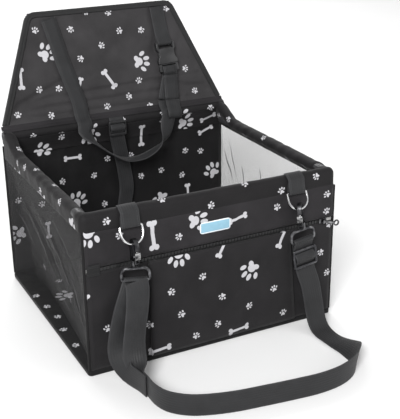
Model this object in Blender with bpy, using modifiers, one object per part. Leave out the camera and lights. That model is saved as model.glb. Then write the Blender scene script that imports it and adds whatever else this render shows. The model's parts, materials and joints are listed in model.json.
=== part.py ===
"""Dog car seat: a fabric box on boards with a tube rim, a back flap, straps and clips.

Metres, +Z up. The origin is under the middle of the base, +X to the right and -Y to the front,
so the seat stands on Z = 0 with its open top up. The flap at the back leans over a car seat's
backrest, and the front strap holds the seat to the car's seat cushion.
"""

import math

import bmesh
import bpy
from mathutils import Matrix, Vector

# The box
WIDTH = 0.400
DEPTH = 0.360
RIM_HEIGHT = 0.240
BACK_RISE = 0.020
FIT = 0.0003
OVERRUN = 0.004
WELD = 0.00001

# Fabric and boards
CLOTH = 0.0015
SIDE_NET = 0.0010
WALL_BOARD = 0.0020
BASE_BOARD = 0.0050
BASE_CORNER = 0.0060
BASE_MARGIN = 0.0040
PIPING_RADIUS = 0.0025
NET_INSET = 0.0300
NET_SAG = 0.0030

# Rim: tubes in fabric sleeves, with elbows in the front corners
TUBE_RADIUS = 0.0080
TUBE_WALL = 0.0015
HEM_DROP = 0.0172
HEM_THICKNESS = 0.0050
SLEEVE_TURN = math.radians(200)
SLEEVE_SEAM = 0.0005
ELBOW_REACH = 0.0180
SPIGOT_LENGTH = 0.0200
TUBE_INSET = 0.0150
BACK_TUBE_INSET = 0.0010
TUBE_CAP = 0.0020
CAP_HOLE = 0.0012

# Front pocket and its zip
ZIP_HEIGHT = 0.1600
ZIP_SLOT = 0.0070
TAPE = 0.0008
TAPE_HEIGHT = 0.0095
TEETH_HEIGHT = 0.0044
TOOTH_PITCH = 0.0050
TOOTH_DEPTH = 0.0012
TOOTH_SHARE = 0.6
ZIP_TAB_WIDTH = 0.0190
ZIP_TAB_HEIGHT = 0.0160
ZIP_TAB = 0.0010
ZIP_STOP = 0.0090
PLEAT_LEFT_INSET = 0.0950
PLEAT_TOP_INSET = 0.0810
PLEAT_BOTTOM_INSET = 0.0680
PLEAT_DEPTH = 0.0120
PATCH_X = -0.0025
PATCH_WIDTH = 0.0480
PATCH_HEIGHT = 0.0170
PATCH = 0.0006
PATCH_CORNER = 0.0040

# Zip slider and puller
SLIDER_INSET = 0.0220
SLIDER_WIDTH = 0.0120
SLIDER_HEIGHT = 0.0064
SLIDER_PLATE = 0.0012
SLIDER_RAIL = 0.0006
PULLER = 0.0012
PULLER_LENGTH = 0.0230
PULLER_WIDTH = 0.0060
PULLER_RING = 0.0050
PULLER_HOLE = 0.0028
PULLER_DROOP = math.radians(15)
PULLER_KNUCKLE = 0.0014
PULLER_PIN = 0.0006
LUG = 0.0010
KNUCKLE_HEIGHT = 0.0032

# Back flap
FLAP_LENGTH = 0.180
FLAP_TAPER = 0.0730
FLAP_BASE_INSET = 0.0020
FLAP_LEAN = math.radians(18.5)
FLAP_CORNER = 0.0180
FLAP_FACE = 0.0025
FLAP_BOARD = 0.0020
FLAP_BOARD_INSET = 0.0060
FLAP_BACK = 0.0015
FLAP_SETBACK = 0.0020
BINDING = 0.0012
BINDING_WIDTH = 0.0080
BINDING_START = 0.0080

# Webbing
STRAP_WIDTH = 0.0320
STRAP = 0.0016
WEBBING_WIDTH = 0.0250
WEBBING = 0.0014
TAB_WIDTH = 0.0270

# D-rings on the front rim
LEFT_CLIP_INSET = 0.0690
RIGHT_CLIP_INSET = 0.0715
D_WIRE = 0.0015
D_HALF = 0.0160
D_LENGTH = 0.0250
D_CORNER = 0.0025
D_LEAN = math.radians(25)
D_BAR_HEIGHT = 0.2155

# Trigger hooks: sizes of the front ones, and the leash hook's share of them
CLAW_INNER = 0.0052
CLAW_OUTER = 0.0105
CLAW_THICKNESS = 0.0060
CLAW_EDGE = 0.0014
NOSE_DROP = 0.0040
HOOK_REACH = 0.0165
HOOK_BASE = 0.0070
HOOK_FOOT = 0.0088
BARREL_RADIUS = 0.0055
BARREL_LENGTH = 0.0065
BORE_RADIUS = 0.0022
GATE_THICKNESS = 0.0030
GATE_PLAY = 0.0003
GATE_PIVOT = 0.0065
GATE_PIVOT_DROP = 0.0030
GATE_END = 0.0017
GATE_PIN = 0.0008
GATE_SWING = math.radians(25)
LEVER_WIDTH = 0.0080
LEVER = 0.0010
EYE_WIRE = 0.0022
EYE_HALF = 0.0190
EYE_HEIGHT = 0.0175
EYE_SHOULDER = 0.0080
EYE_CORNER = 0.0035
STEM_RADIUS = 0.0019
STEM_HEAD = 0.0027
HEAD_HEIGHT = 0.0022
BOW_CLEARANCE = 0.0006
LEFT_EYE_TURN = math.radians(-18)
RIGHT_HOOK_TURN = math.radians(40)
RIGHT_LEAN = math.radians(8)
LEASH_HOOK_SHARE = 0.85

# Tri-glides
GLIDE_WIDTH = 0.0405
GLIDE_HEIGHT = 0.0310
GLIDE = 0.0032
GLIDE_BAR = 0.0040
GLIDE_CORNER = 0.0040
GLIDE_DROP = 0.0282
GLIDE_PLAY = 0.0014
LEASH_SLIDER_WIDTH = 0.0310
LEASH_SLIDER_HEIGHT = 0.0260
LEASH_SLIDER = 0.0030
LEASH_SLIDER_X = -0.0080
LEASH_SLIDER_DROP = 0.0092
LEASH_END = Vector((0.0015, 0.1668, 0.0880))

# Side-release buckle on the flap
BUCKLE_INSET = 0.0230
BUCKLE_UP = 0.0670
BUCKLE_TILT = math.radians(3)
BUCKLE_WIDTH = 0.0340
BUCKLE_WAIST = 0.0290
BUCKLE_MOUTH = 0.0360
BUCKLE_LENGTH = 0.0370
BUCKLE = 0.0085
BUCKLE_EDGE = 0.0010
BUCKLE_BASE = 0.0130
BUCKLE_BASE_THICKNESS = 0.0045
BUCKLE_BAR = 0.0030
BUCKLE_SLOT = 0.0265
SOCKET_WIDTH = 0.0250
SOCKET_HEIGHT = 0.0052
SOCKET_DEPTH = 0.0225
WINDOW_START = 0.0120
WINDOW_LENGTH = 0.0090
PRONG_WIDTH = 0.0040
PRONG_LENGTH = 0.0190
PRONG_WEB = 0.0024
GUIDE_WIDTH = 0.0080
GUIDE = 0.0020

# Places that follow from the sizes above
SLIDER_X = WIDTH / 2 - SLIDER_INSET
LEFT_CLIP_X = -(WIDTH / 2 - LEFT_CLIP_INSET)
RIGHT_CLIP_X = WIDTH / 2 - RIGHT_CLIP_INSET
PLEAT_LEFT = -(WIDTH / 2 - PLEAT_LEFT_INSET)
PLEAT_RIGHT_TOP = WIDTH / 2 - PLEAT_TOP_INSET
PLEAT_RIGHT_BOTTOM = WIDTH / 2 - PLEAT_BOTTOM_INSET
FLAP_TOP_HALF = WIDTH / 2 - FLAP_TAPER
BUCKLE_X = FLAP_TOP_HALF - BUCKLE_INSET
SLEEVE_INNER = TUBE_RADIUS + FIT
SLEEVE_OUTER = SLEEVE_INNER + CLOTH
RIM_Z = RIM_HEIGHT - SLEEVE_OUTER
BACK_RIM_Z = RIM_Z + BACK_RISE
SIDE_X = WIDTH / 2 - SLEEVE_OUTER
RIM_Y = DEPTH / 2 - SLEEVE_OUTER
BASE_TOP = 2 * CLOTH + BASE_BOARD + 2 * FIT
WALL_FOOT = BASE_TOP + FIT
WALL_TOP = RIM_Z - HEM_DROP - FIT
BACK_WALL_TOP = BACK_RIM_Z - HEM_DROP - FIT
FACE_Y = DEPTH / 2
WALL_HALF = WIDTH / 2 - 2 * PIPING_RADIUS - FIT
TAPE_Y = FACE_Y - CLOTH - FIT
BOARD_Y = TAPE_Y - TAPE - FIT
LINER_Y = BOARD_Y - WALL_BOARD - FIT
INNER_Y = LINER_Y - CLOTH
PLEAT_LAYER = CLOTH + FIT
TUBE_BORE = TUBE_RADIUS - TUBE_WALL
PULLER_Y = -(FACE_Y + 2 * PLEAT_LAYER + FIT + PULLER / 2)
FLAP_HINGE = Vector((0, RIM_Y + FLAP_SETBACK, BACK_RIM_Z + SLEEVE_OUTER + FIT / 3))
FLAP_DEPTH = FLAP_FACE + FLAP_BOARD + FLAP_BACK + 2 * FIT
FLAP_BASE_HALF = WIDTH / 2 - FLAP_BASE_INSET

# How far the net's foot leans in, as shares of NET_INSET along its length
NET_FOOT_SHARES = (
    (0.00, 0.00), (0.03, 0.12), (0.10, 0.38), (0.25, 0.58), (0.50, 0.82),
    (0.75, 1.00), (0.92, 0.85), (0.975, 0.18), (1.00, 0.00),
)
NET_ROWS = 4
NET_STATIONS = 22

CLOTH_FINISH = ((0.030, 0.029, 0.031), 0.75, 0.0)
LINER_FINISH = ((0.020, 0.020, 0.021), 0.80, 0.0)
NET_FINISH = ((0.025, 0.025, 0.026), 0.85, 0.0)
WEBBING_FINISH = ((0.050, 0.051, 0.053), 0.65, 0.0)
BOARD_FINISH = ((0.480, 0.480, 0.470), 0.60, 0.0)
BLACK_METAL = ((0.030, 0.030, 0.032), 0.35, 0.9)
STEEL = ((0.750, 0.750, 0.760), 0.25, 1.0)
PLASTIC = ((0.028, 0.028, 0.030), 0.40, 0.0)
PATCH_FINISH = ((0.640, 0.760, 0.860), 0.55, 0.0)

X = Vector((1, 0, 0))
Y = Vector((0, 1, 0))
Z = Vector((0, 0, 1))

for old in list(bpy.data.objects):
    bpy.data.objects.remove(old, do_unlink=True)
PARTS = bpy.data.collections.new("dog_car_seat")
CUTTERS = bpy.data.collections.new("cutters")
for made in (PARTS, CUTTERS):
    bpy.context.scene.collection.children.link(made)


# Frames and outlines

def frame(x_axis, y_axis, origin):
    """Matrix whose first two axes are given, the second squared up to the first."""
    first = Vector(x_axis).normalized()
    second = (Vector(y_axis) - first * Vector(y_axis).dot(first)).normalized()
    matrix = Matrix((first, second, first.cross(second))).transposed().to_4x4()
    matrix.translation = origin
    return matrix


def arc(centre, radius, start, end, steps):
    """Points of an arc from one angle to another, both in radians."""
    angles = [start + (end - start) * i / steps for i in range(steps + 1)]
    return [(centre[0] + radius * math.cos(a), centre[1] + radius * math.sin(a)) for a in angles]


def circle(centre, radius, steps):
    return arc(centre, radius, 0, 2 * math.pi, steps)[:-1]


def rectangle(low, high):
    return [low, (high[0], low[1]), high, (low[0], high[1])]


def rounded(low, high, radius, steps=4):
    """Rectangle outline with round corners."""
    right, top = high[0] - radius, high[1] - radius
    left, bottom = low[0] + radius, low[1] + radius
    quarter = math.pi / 2
    points = arc((right, bottom), radius, -quarter, 0, steps)
    points += arc((right, top), radius, 0, quarter, steps)
    points += arc((left, top), radius, quarter, 2 * quarter, steps)
    points += arc((left, bottom), radius, 2 * quarter, 3 * quarter, steps)
    return points


def mirrored(half):
    """Outline from its right half, listed from the bottom to the top."""
    return half + [(-x, y) for x, y in reversed(half)]


# Solids

def add_object(name, mesh, finish):
    """Link a mesh as a sub-part with its own material."""
    mesh.name = name
    obj = bpy.data.objects.new(name, mesh)
    PARTS.objects.link(obj)
    colour, roughness, metallic = finish
    material = bpy.data.materials.new(name)
    material.use_nodes = True
    shader = material.node_tree.nodes["Principled BSDF"]
    shader.inputs["Base Color"].default_value = (*colour, 1)
    shader.inputs["Roughness"].default_value = roughness
    shader.inputs["Metallic"].default_value = metallic
    mesh.materials.clear()
    mesh.materials.append(material)
    return obj


def from_bmesh(name, shape, finish, place, smooth=False):
    bmesh.ops.transform(shape, matrix=place, verts=shape.verts)
    bmesh.ops.recalc_face_normals(shape, faces=shape.faces)
    mesh = bpy.data.meshes.new(name)
    shape.to_mesh(mesh)
    shape.free()
    if smooth:
        mesh.shade_smooth()
        mesh.set_sharp_from_angle(angle=math.radians(40))
    return add_object(name, mesh, finish)


def box(name, finish, low, high, place=Matrix()):
    """Box between two corners."""
    low, high = Vector(low), Vector(high)
    size = high - low
    fitted = Matrix.Translation((low + high) / 2) @ Matrix.Diagonal((*size, 1))
    shape = bmesh.new()
    bmesh.ops.create_cube(shape, size=1, matrix=fitted)
    return from_bmesh(name, shape, finish, place)


def rod(name, finish, start, end, radius, place=Matrix(), sides=14):
    """Round bar between two points."""
    start, end = Vector(start), Vector(end)
    along = end - start
    turn = along.to_track_quat("Z", "Y").to_matrix().to_4x4()
    fitted = Matrix.Translation((start + end) / 2) @ turn
    shape = bmesh.new()
    bmesh.ops.create_cone(shape, cap_ends=True, segments=sides, radius1=radius, radius2=radius,
                          depth=along.length, matrix=fitted)
    return from_bmesh(name, shape, finish, place, smooth=True)


def from_curve(name, finish, curve, place, smooth):
    """Turn a curve into a closed mesh and drop the curve."""
    guide = bpy.data.objects.new(name + "_curve", curve)
    PARTS.objects.link(guide)
    bpy.context.view_layer.update()
    graph = bpy.context.evaluated_depsgraph_get()
    mesh = bpy.data.meshes.new_from_object(guide.evaluated_get(graph))
    bpy.data.objects.remove(guide, do_unlink=True)
    bpy.data.curves.remove(curve)
    shape = bmesh.new()
    shape.from_mesh(mesh)
    bpy.data.meshes.remove(mesh)
    bmesh.ops.remove_doubles(shape, verts=shape.verts, dist=WELD)
    return from_bmesh(name, shape, finish, place, smooth)


def slab(name, finish, outlines, thickness, place=Matrix(), smooth=False):
    """Flat outline, with holes as further outlines, thickened about its plane."""
    curve = bpy.data.curves.new(name + "_outline", "CURVE")
    curve.dimensions = "2D"
    curve.fill_mode = "BOTH"
    curve.extrude = thickness / 2
    for outline in outlines:
        spline = curve.splines.new("POLY")
        spline.points.add(len(outline) - 1)
        for point, (x, y) in zip(spline.points, outline):
            point.co = (x, y, 0, 1)
        spline.use_cyclic_u = True
    return from_curve(name, finish, curve, place, smooth)


def wire(name, finish, points, radius, place=Matrix(), closed=False):
    """Round wire along a list of points."""
    curve = bpy.data.curves.new(name + "_path", "CURVE")
    curve.dimensions = "3D"
    curve.bevel_depth = radius
    curve.bevel_resolution = 2
    curve.use_fill_caps = True
    spline = curve.splines.new("POLY")
    spline.points.add(len(points) - 1)
    for point, at in zip(spline.points, points):
        point.co = (*at, 1)
    spline.use_cyclic_u = closed
    return from_curve(name, finish, curve, place, True)


def loft(name, finish, rings, place=Matrix()):
    """Closed solid through a row of like rings."""
    shape = bmesh.new()
    rows = [[shape.verts.new(point) for point in ring] for ring in rings]
    count = len(rows[0])
    for low, high in zip(rows, rows[1:]):
        for i in range(count):
            j = (i + 1) % count
            shape.faces.new((low[i], low[j], high[j], high[i]))
    shape.faces.new(rows[0])
    shape.faces.new(rows[-1])
    return from_bmesh(name, shape, finish, place)


def bevel(obj, width, segments=1):
    """Round the sharp edges of a solid."""
    modifier = obj.modifiers.new("edges", "BEVEL")
    modifier.width = width
    modifier.segments = segments
    modifier.limit_method = "ANGLE"


def combine(obj, others, operation):
    for other in others:
        modifier = obj.modifiers.new(operation.lower(), "BOOLEAN")
        modifier.operation = operation
        modifier.solver = "EXACT"
        modifier.object = other
        other.name = obj.name + "_" + other.name
        PARTS.objects.unlink(other)
        CUTTERS.objects.link(other)
        other.hide_render = True
        other.display_type = "WIRE"
    return obj


def cut(obj, *cutters):
    return combine(obj, cutters, "DIFFERENCE")


def join(obj, *others):
    return combine(obj, others, "UNION")


def hang_on(obj, pivot):
    """Put a moving piece's origin on its joint."""
    obj.data.transform(Matrix.Translation(-Vector(pivot)))
    obj.location = pivot


# Webbing

def smooth_run(points, step):
    """Stations of (place, across) on a smooth curve through hand-placed ones."""
    padded = [points[0]] + list(points) + [points[-1]]
    stations = []
    for before, start, end, after in zip(padded, padded[1:], padded[2:], padded[3:]):
        pieces = max(1, round((Vector(end[0]) - Vector(start[0])).length / step))
        for i in range(pieces):
            t = i / pieces
            stations.append(tuple(spline_at(before[k], start[k], end[k], after[k], t) for k in (0, 1)))
    stations.append((Vector(points[-1][0]), Vector(points[-1][1])))
    return stations


def spline_at(before, start, end, after, t):
    """Point of a Catmull-Rom curve between start and end."""
    before, start, end, after = Vector(before), Vector(start), Vector(end), Vector(after)
    flat = 2 * start + (end - before) * t
    bend = (2 * before - 5 * start + 4 * end - after) * t ** 2
    twist = (3 * start - before - 3 * end + after) * t ** 3
    return (flat + bend + twist) / 2


def ribbon(name, finish, stations, width, thickness):
    """Flat strap through stations of (place, across)."""
    places = [Vector(place) for place, _ in stations]
    rings = []
    for i, (place, across) in enumerate(stations):
        ahead = (places[min(i + 1, len(places) - 1)] - places[i]).normalized()
        behind = (places[i] - places[max(i - 1, 0)]).normalized()
        along = (ahead + behind).normalized()
        side = Vector(across)
        side = (side - along * side.dot(along)).normalized() * width / 2
        face = along.cross(side).normalized() * thickness / 2
        place = places[i]
        rings.append((place + side + face, place - side + face, place - side - face, place + side - face))
    return loft(name, finish, rings)


def round_bar(centre, across, start_side, up, radius, turn=math.pi, steps=8):
    """Stations half-way round a bar, from its start side over the way called up."""
    side, up = Vector(start_side).normalized(), Vector(up).normalized()
    angles = [turn * i / steps for i in range(steps + 1)]
    return [(centre + radius * (side * math.cos(a) + up * math.sin(a)), across) for a in angles]


# Base

def base():
    """Fabric wrap open in a slot at the rear, with its stiff board inside."""
    half, deep = WIDTH / 2, DEPTH / 2
    cover = slab("base_cover", CLOTH_FINISH, [rounded((-half, -deep), (half, deep), BASE_CORNER)],
                 BASE_TOP, Matrix.Translation((0, 0, BASE_TOP / 2)))
    cavity = box("slot", LINER_FINISH, (-half + BASE_MARGIN, -deep + BASE_MARGIN, CLOTH),
                 (half - BASE_MARGIN, deep + OVERRUN, BASE_TOP - CLOTH))
    cut(cover, cavity)
    edge = BASE_MARGIN + FIT
    box("base_board", BOARD_FINISH, (-half + edge, -deep + edge, CLOTH + FIT),
        (half - edge, deep - edge, CLOTH + FIT + BASE_BOARD))


# Walls

def wall(name, finish, y_out, thickness, foot, top, half=WALL_HALF):
    """Upright sheet across the seat; y_out is its outer face, positive at the back."""
    y_in = y_out - math.copysign(thickness, y_out)
    return box(name, finish, (-half, min(y_out, y_in), foot), (half, max(y_out, y_in), top))


def walls():
    """Front and back walls, each a board between two fabrics."""
    wall("front_liner", LINER_FINISH, -LINER_Y, CLOTH, WALL_FOOT, WALL_TOP)
    wall("front_board", BOARD_FINISH, -BOARD_Y, WALL_BOARD, WALL_FOOT, WALL_TOP)
    wall("front_band", CLOTH_FINISH, -FACE_Y, CLOTH, ZIP_HEIGHT + ZIP_SLOT / 2, WALL_TOP)
    wall("back_liner", CLOTH_FINISH, LINER_Y, CLOTH, WALL_FOOT, BACK_WALL_TOP)
    back_board_y = LINER_Y + FIT + WALL_BOARD
    wall("back_board", BOARD_FINISH, back_board_y, WALL_BOARD, WALL_FOOT, BACK_WALL_TOP)
    wall("back_cover", CLOTH_FINISH, back_board_y + FIT + CLOTH, CLOTH, WALL_FOOT, BACK_WALL_TOP)


def pleat_ring(z, left, right):
    """Outline of the pocket at one height: a flat panel with a Z-fold at either side of its middle."""
    layers = [-FACE_Y + CLOTH / 2 - PLEAT_LAYER * i for i in range(3)]
    half_line = [
        (-WALL_HALF, layers[0]), (left + PLEAT_DEPTH, layers[0]), (left + PLEAT_DEPTH, layers[1]),
        (left, layers[1]), (left, layers[2]),
    ]
    line = half_line + [
        (right, layers[2]), (right, layers[1]), (right - PLEAT_DEPTH, layers[1]),
        (right - PLEAT_DEPTH, layers[0]), (WALL_HALF, layers[0]),
    ]
    return [Vector((x, y, z)) for x, y in thickened(line, CLOTH)]


def thickened(line, thickness):
    """Closed outline of a bent line with square turns, with thickness on both sides."""
    sides = ([], [])
    for i, here in enumerate(line):
        ahead = Vector(line[min(i + 1, len(line) - 1)]) - Vector(line[max(min(i, len(line) - 2), 0)])
        behind = Vector(here) - Vector(line[max(i - 1, 0)]) if i else ahead
        first, second = ahead.normalized(), behind.normalized()
        across = Vector((-first.y, first.x)) + Vector((-second.y, second.x))
        if abs(first.dot(second)) > math.cos(math.radians(5)):
            across = Vector((-first.y, first.x))
        for side, sign in zip(sides, (1, -1)):
            side.append(tuple(Vector(here) + across * sign * thickness / 2))
    return sides[0] + sides[1][::-1]


def pocket():
    """Pleated pocket panel, zip tapes, teeth, end tab and the bare patch."""
    top = ZIP_HEIGHT - ZIP_SLOT / 2
    loft("pocket_panel", CLOTH_FINISH, [
        pleat_ring(WALL_FOOT, PLEAT_LEFT, PLEAT_RIGHT_BOTTOM), pleat_ring(top, PLEAT_LEFT, PLEAT_RIGHT_TOP),
    ])
    edge = TEETH_HEIGHT / 2 + FIT
    for name, low, high in (("zip_tape_upper", edge, edge + TAPE_HEIGHT),
                            ("zip_tape_lower", -edge - TAPE_HEIGHT, -edge)):
        wall(name, WEBBING_FINISH, -TAPE_Y, TAPE, ZIP_HEIGHT + low, ZIP_HEIGHT + high)
    zip_teeth()
    box("zip_end_tab", WEBBING_FINISH,
        (-WALL_HALF, -FACE_Y - FIT - ZIP_TAB, ZIP_HEIGHT - ZIP_TAB_HEIGHT / 2),
        (-WALL_HALF + ZIP_TAB_WIDTH, -FACE_Y - FIT, ZIP_HEIGHT + ZIP_TAB_HEIGHT / 2))
    size = (PATCH_WIDTH / 2, PATCH_HEIGHT / 2)
    middle = (ZIP_HEIGHT + ZIP_SLOT / 2 + WALL_TOP) / 2
    slab("patch", PATCH_FINISH, [rounded((-size[0], -size[1]), size, PATCH_CORNER)], PATCH,
         frame(X, Z, (PATCH_X, -FACE_Y - FIT - PATCH / 2, middle)))


def zip_teeth():
    """Strip of teeth between the tapes, cut across between every two teeth."""
    left = -WALL_HALF + ZIP_TAB_WIDTH + FIT
    right = WALL_HALF - ZIP_STOP
    count = int((right - left) / TOOTH_PITCH)
    root, tip = -BOARD_Y - FIT, -FACE_Y
    outline = [(left + count * TOOTH_PITCH, root), (left, root)]
    for i in range(count):
        start = left + i * TOOTH_PITCH
        end = start + TOOTH_PITCH * TOOTH_SHARE
        outline += [(start, tip), (end, tip), (end, tip + TOOTH_DEPTH), (start + TOOTH_PITCH, tip + TOOTH_DEPTH)]
    slab("zip_teeth", PLASTIC, [outline], TEETH_HEIGHT, Matrix.Translation((0, 0, ZIP_HEIGHT)))


def zip_slider():
    """Slider over the teeth, with a pin between two lugs, and the puller that turns on it."""
    half = SLIDER_HEIGHT / 2
    back, face = -FACE_Y - FIT, -FACE_Y - FIT - SLIDER_PLATE
    section = [
        (face, -half), (face, half), (-TAPE_Y - FIT, half), (-TAPE_Y - FIT, half - SLIDER_RAIL),
        (back, half - SLIDER_RAIL), (back, -half + SLIDER_RAIL), (-TAPE_Y - FIT, -half + SLIDER_RAIL),
        (-TAPE_Y - FIT, -half),
    ]
    centre = Vector((SLIDER_X, 0, ZIP_HEIGHT))
    slider = slab("zip_slider", BLACK_METAL, [section], SLIDER_WIDTH, frame(Y, Z, centre))
    turn = Matrix.Rotation(PULLER_DROOP, 4, "Y")
    place = Matrix.Translation((SLIDER_X, PULLER_Y, ZIP_HEIGHT)) @ turn
    to_face = face - PULLER_Y
    reach = PULLER_KNUCKLE - FIT
    knuckle = KNUCKLE_HEIGHT / 2
    for name, low in (("lug_low", -knuckle - FIT - LUG), ("lug_high", knuckle + FIT)):
        join(slider, box(name, BLACK_METAL, (-reach, -reach, low), (reach, to_face + SLIDER_PLATE / 2, low + LUG),
                         place))
    join(slider, rod("pin", BLACK_METAL, (0, 0, -knuckle - FIT - LUG / 2), (0, 0, knuckle + FIT + LUG / 2),
                     PULLER_PIN, place, 10))
    upright = PULLER_WIDTH / 2
    ring_x = PULLER_LENGTH
    neck = math.asin(upright / 2 / PULLER_RING)
    tab = [(0, -knuckle), *arc((ring_x, 0), PULLER_RING, -math.pi + neck, math.pi - neck, 14), (0, knuckle)]
    flat = place @ frame(X, Z, (0, 0, 0))
    puller = slab("zip_puller", BLACK_METAL, [tab, circle((ring_x, 0), PULLER_HOLE, 12)], PULLER, flat, True)
    join(puller, rod("knuckle", BLACK_METAL, (0, 0, -knuckle), (0, 0, knuckle), PULLER_KNUCKLE, place))
    cut(puller, rod("bore", BLACK_METAL, (0, 0, -knuckle - OVERRUN), (0, 0, knuckle + OVERRUN),
                    PULLER_PIN + FIT, place, 10))
    hang_on(slider, (SLIDER_X, -FACE_Y, ZIP_HEIGHT))
    hang_on(puller, (SLIDER_X, PULLER_Y, ZIP_HEIGHT))


def corner_piping():
    """Piped seams up the four corners."""
    x, y = WIDTH / 2 - PIPING_RADIUS, DEPTH / 2 - PIPING_RADIUS
    for name, sx, sy, top in (
        ("piping_front_left", -1, -1, WALL_TOP), ("piping_front_right", 1, -1, WALL_TOP),
        ("piping_back_left", -1, 1, BACK_WALL_TOP), ("piping_back_right", 1, 1, BACK_WALL_TOP),
    ):
        rod(name, WEBBING_FINISH, (sx * x, sy * y, WALL_FOOT), (sx * x, sy * y, top), PIPING_RADIUS, sides=10)


def side_nets():
    """Net sides: straight along the rim and drawn in along the base seam."""
    end = FACE_Y - 2 * PIPING_RADIUS - FIT
    top_x = WIDTH / 2 - PIPING_RADIUS
    shares = [((share, 0, 0), (inset, 0, 0)) for share, inset in NET_FOOT_SHARES]
    stations = smooth_run(shares, 1 / NET_STATIONS)
    for name, side in (("left_mesh", -1), ("right_mesh", 1)):
        rings = []
        for share, inset in stations:
            y = -end + 2 * end * min(max(share.x, 0), 1)
            lean = max(inset.x, 0)
            outer, inner = [], []
            for row in range(NET_ROWS + 1):
                up = row / NET_ROWS
                x = top_x - NET_INSET * lean * (1 - up) - NET_SAG * lean * math.sin(math.pi * up)
                z = WALL_FOOT + (WALL_TOP - WALL_FOOT) * up
                outer.append((side * (x + SIDE_NET / 2), y, z))
                inner.append((side * (x - SIDE_NET / 2), y, z))
            rings.append(outer + inner[::-1])
        loft(name, NET_FINISH, rings)


# Rim

def sleeve_outline():
    """Teardrop round the tube that ends in a hem, with p outward and q up."""
    end = SLEEVE_TURN
    return [
        (SLEEVE_OUTER, -HEM_DROP), *arc((0, 0), SLEEVE_OUTER, 0, end, 12),
        (SLEEVE_OUTER - HEM_THICKNESS, -HEM_DROP),
    ]


def sleeve(name, centre, outward, along, start, finish):
    """Rim sleeve; start and finish give its ends along the run for each (p, q)."""
    obj = slab(name, CLOTH_FINISH, [sleeve_outline(), circle((0, 0), SLEEVE_INNER, 16)], 1)
    for vertex in obj.data.vertices:
        p, q, side = vertex.co
        run = finish(p, q) if side > 0 else start(p, q)
        vertex.co = Vector(centre) + outward * p + Z * q + along * run
    shape = bmesh.new()
    shape.from_mesh(obj.data)
    bmesh.ops.recalc_face_normals(shape, faces=shape.faces)
    shape.to_mesh(obj.data)
    shape.free()
    obj.data.shade_smooth()
    obj.data.set_sharp_from_angle(angle=math.radians(40))


def side_sleeve_end(p, q):
    """Back end of a side sleeve, cut along the slope of the back sleeve."""
    low = (RIM_Y + SLEEVE_OUTER - HEM_THICKNESS, BACK_RIM_Z - HEM_DROP)
    high = (RIM_Y + SLEEVE_OUTER * math.cos(SLEEVE_TURN), BACK_RIM_Z + SLEEVE_OUTER * math.sin(SLEEVE_TURN))
    share = (RIM_Z + q - low[1]) / (high[1] - low[1])
    slope = low[0] + (high[0] - low[0]) * share - SLEEVE_SEAM
    return min(slope, INNER_Y - FIT)


def sleeves():
    """Fabric sleeves round the rim, mitred in the front corners."""
    sleeve("rim_sleeve_front", (0, -RIM_Y, RIM_Z), -Y, X,
           lambda p, q: -(SIDE_X + p - FIT), lambda p, q: SIDE_X + p - FIT)
    for name, side in (("rim_sleeve_left", -1), ("rim_sleeve_right", 1)):
        sleeve(name, (side * SIDE_X, 0, RIM_Z), X * side, Y, lambda p, q: -(RIM_Y + p - FIT), side_sleeve_end)
    sleeve("rim_sleeve_back", (0, RIM_Y, BACK_RIM_Z), Y, X,
           lambda p, q: -WIDTH / 2, lambda p, q: WIDTH / 2)


def tube(name, start, end):
    """Hollow rim tube between two points."""
    start, end = Vector(start), Vector(end)
    along = (end - start).normalized()
    place = frame(Z.cross(along), Z, (start + end) / 2)
    return slab(name, PLASTIC, [circle((0, 0), TUBE_RADIUS, 16), circle((0, 0), TUBE_BORE, 16)],
                (end - start).length, place, True)


def rim_frame():
    """Four tubes and the two elbows that join the front three."""
    reach = SIDE_X - ELBOW_REACH - FIT
    tube("rim_tube_front", (-reach, -RIM_Y, RIM_Z), (reach, -RIM_Y, RIM_Z))
    front = -RIM_Y + ELBOW_REACH + FIT
    for name, x in (("rim_tube_left", -SIDE_X), ("rim_tube_right", SIDE_X)):
        tube(name, (x, front, RIM_Z), (x, RIM_Y - TUBE_INSET, RIM_Z))
    back = WIDTH / 2 - BACK_TUBE_INSET
    rail = tube("rim_tube_back", (-back, RIM_Y, BACK_RIM_Z), (back, RIM_Y, BACK_RIM_Z))
    for name, side in (("cap_left", -1), ("cap_right", 1)):
        place = frame(Y, Z, (side * (back - FIT - TUBE_CAP / 2), RIM_Y, BACK_RIM_Z))
        outer = circle((0, 0), (TUBE_RADIUS + TUBE_BORE) / 2, 16)
        join(rail, slab(name, PLASTIC, [outer, circle((0, 0), CAP_HOLE, 8)], TUBE_CAP, place))
    for name, side in (("rim_elbow_left", -1), ("rim_elbow_right", 1)):
        elbow(name, Vector((side * SIDE_X, -RIM_Y, RIM_Z)), -X * side)


def elbow(name, corner, inward):
    """Corner piece with a shoulder and a spigot for each of its two tubes."""
    shape = bmesh.new()
    bmesh.ops.create_uvsphere(shape, u_segments=14, v_segments=8, radius=TUBE_RADIUS)
    knuckle = from_bmesh(name, shape, PLASTIC, Matrix.Translation(corner), True)
    for label, way in (("front", inward), ("side", Y)):
        shoulder = corner + way * ELBOW_REACH
        join(knuckle, rod("shoulder_" + label, PLASTIC, corner, shoulder, TUBE_RADIUS - FIT / 3))
        join(knuckle, rod("spigot_" + label, PLASTIC, corner, shoulder + way * SPIGOT_LENGTH,
                          TUBE_BORE - FIT, sides=12))


# Back flap

FLAP_UP = Vector((0, math.sin(FLAP_LEAN), math.cos(FLAP_LEAN)))
FLAP = frame(X, FLAP_UP, FLAP_HINGE)


def on_flap(x, up, out):
    """Point on the flap: across, up from its hinge and out from its face."""
    return FLAP @ Vector((x, up, out))


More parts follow.
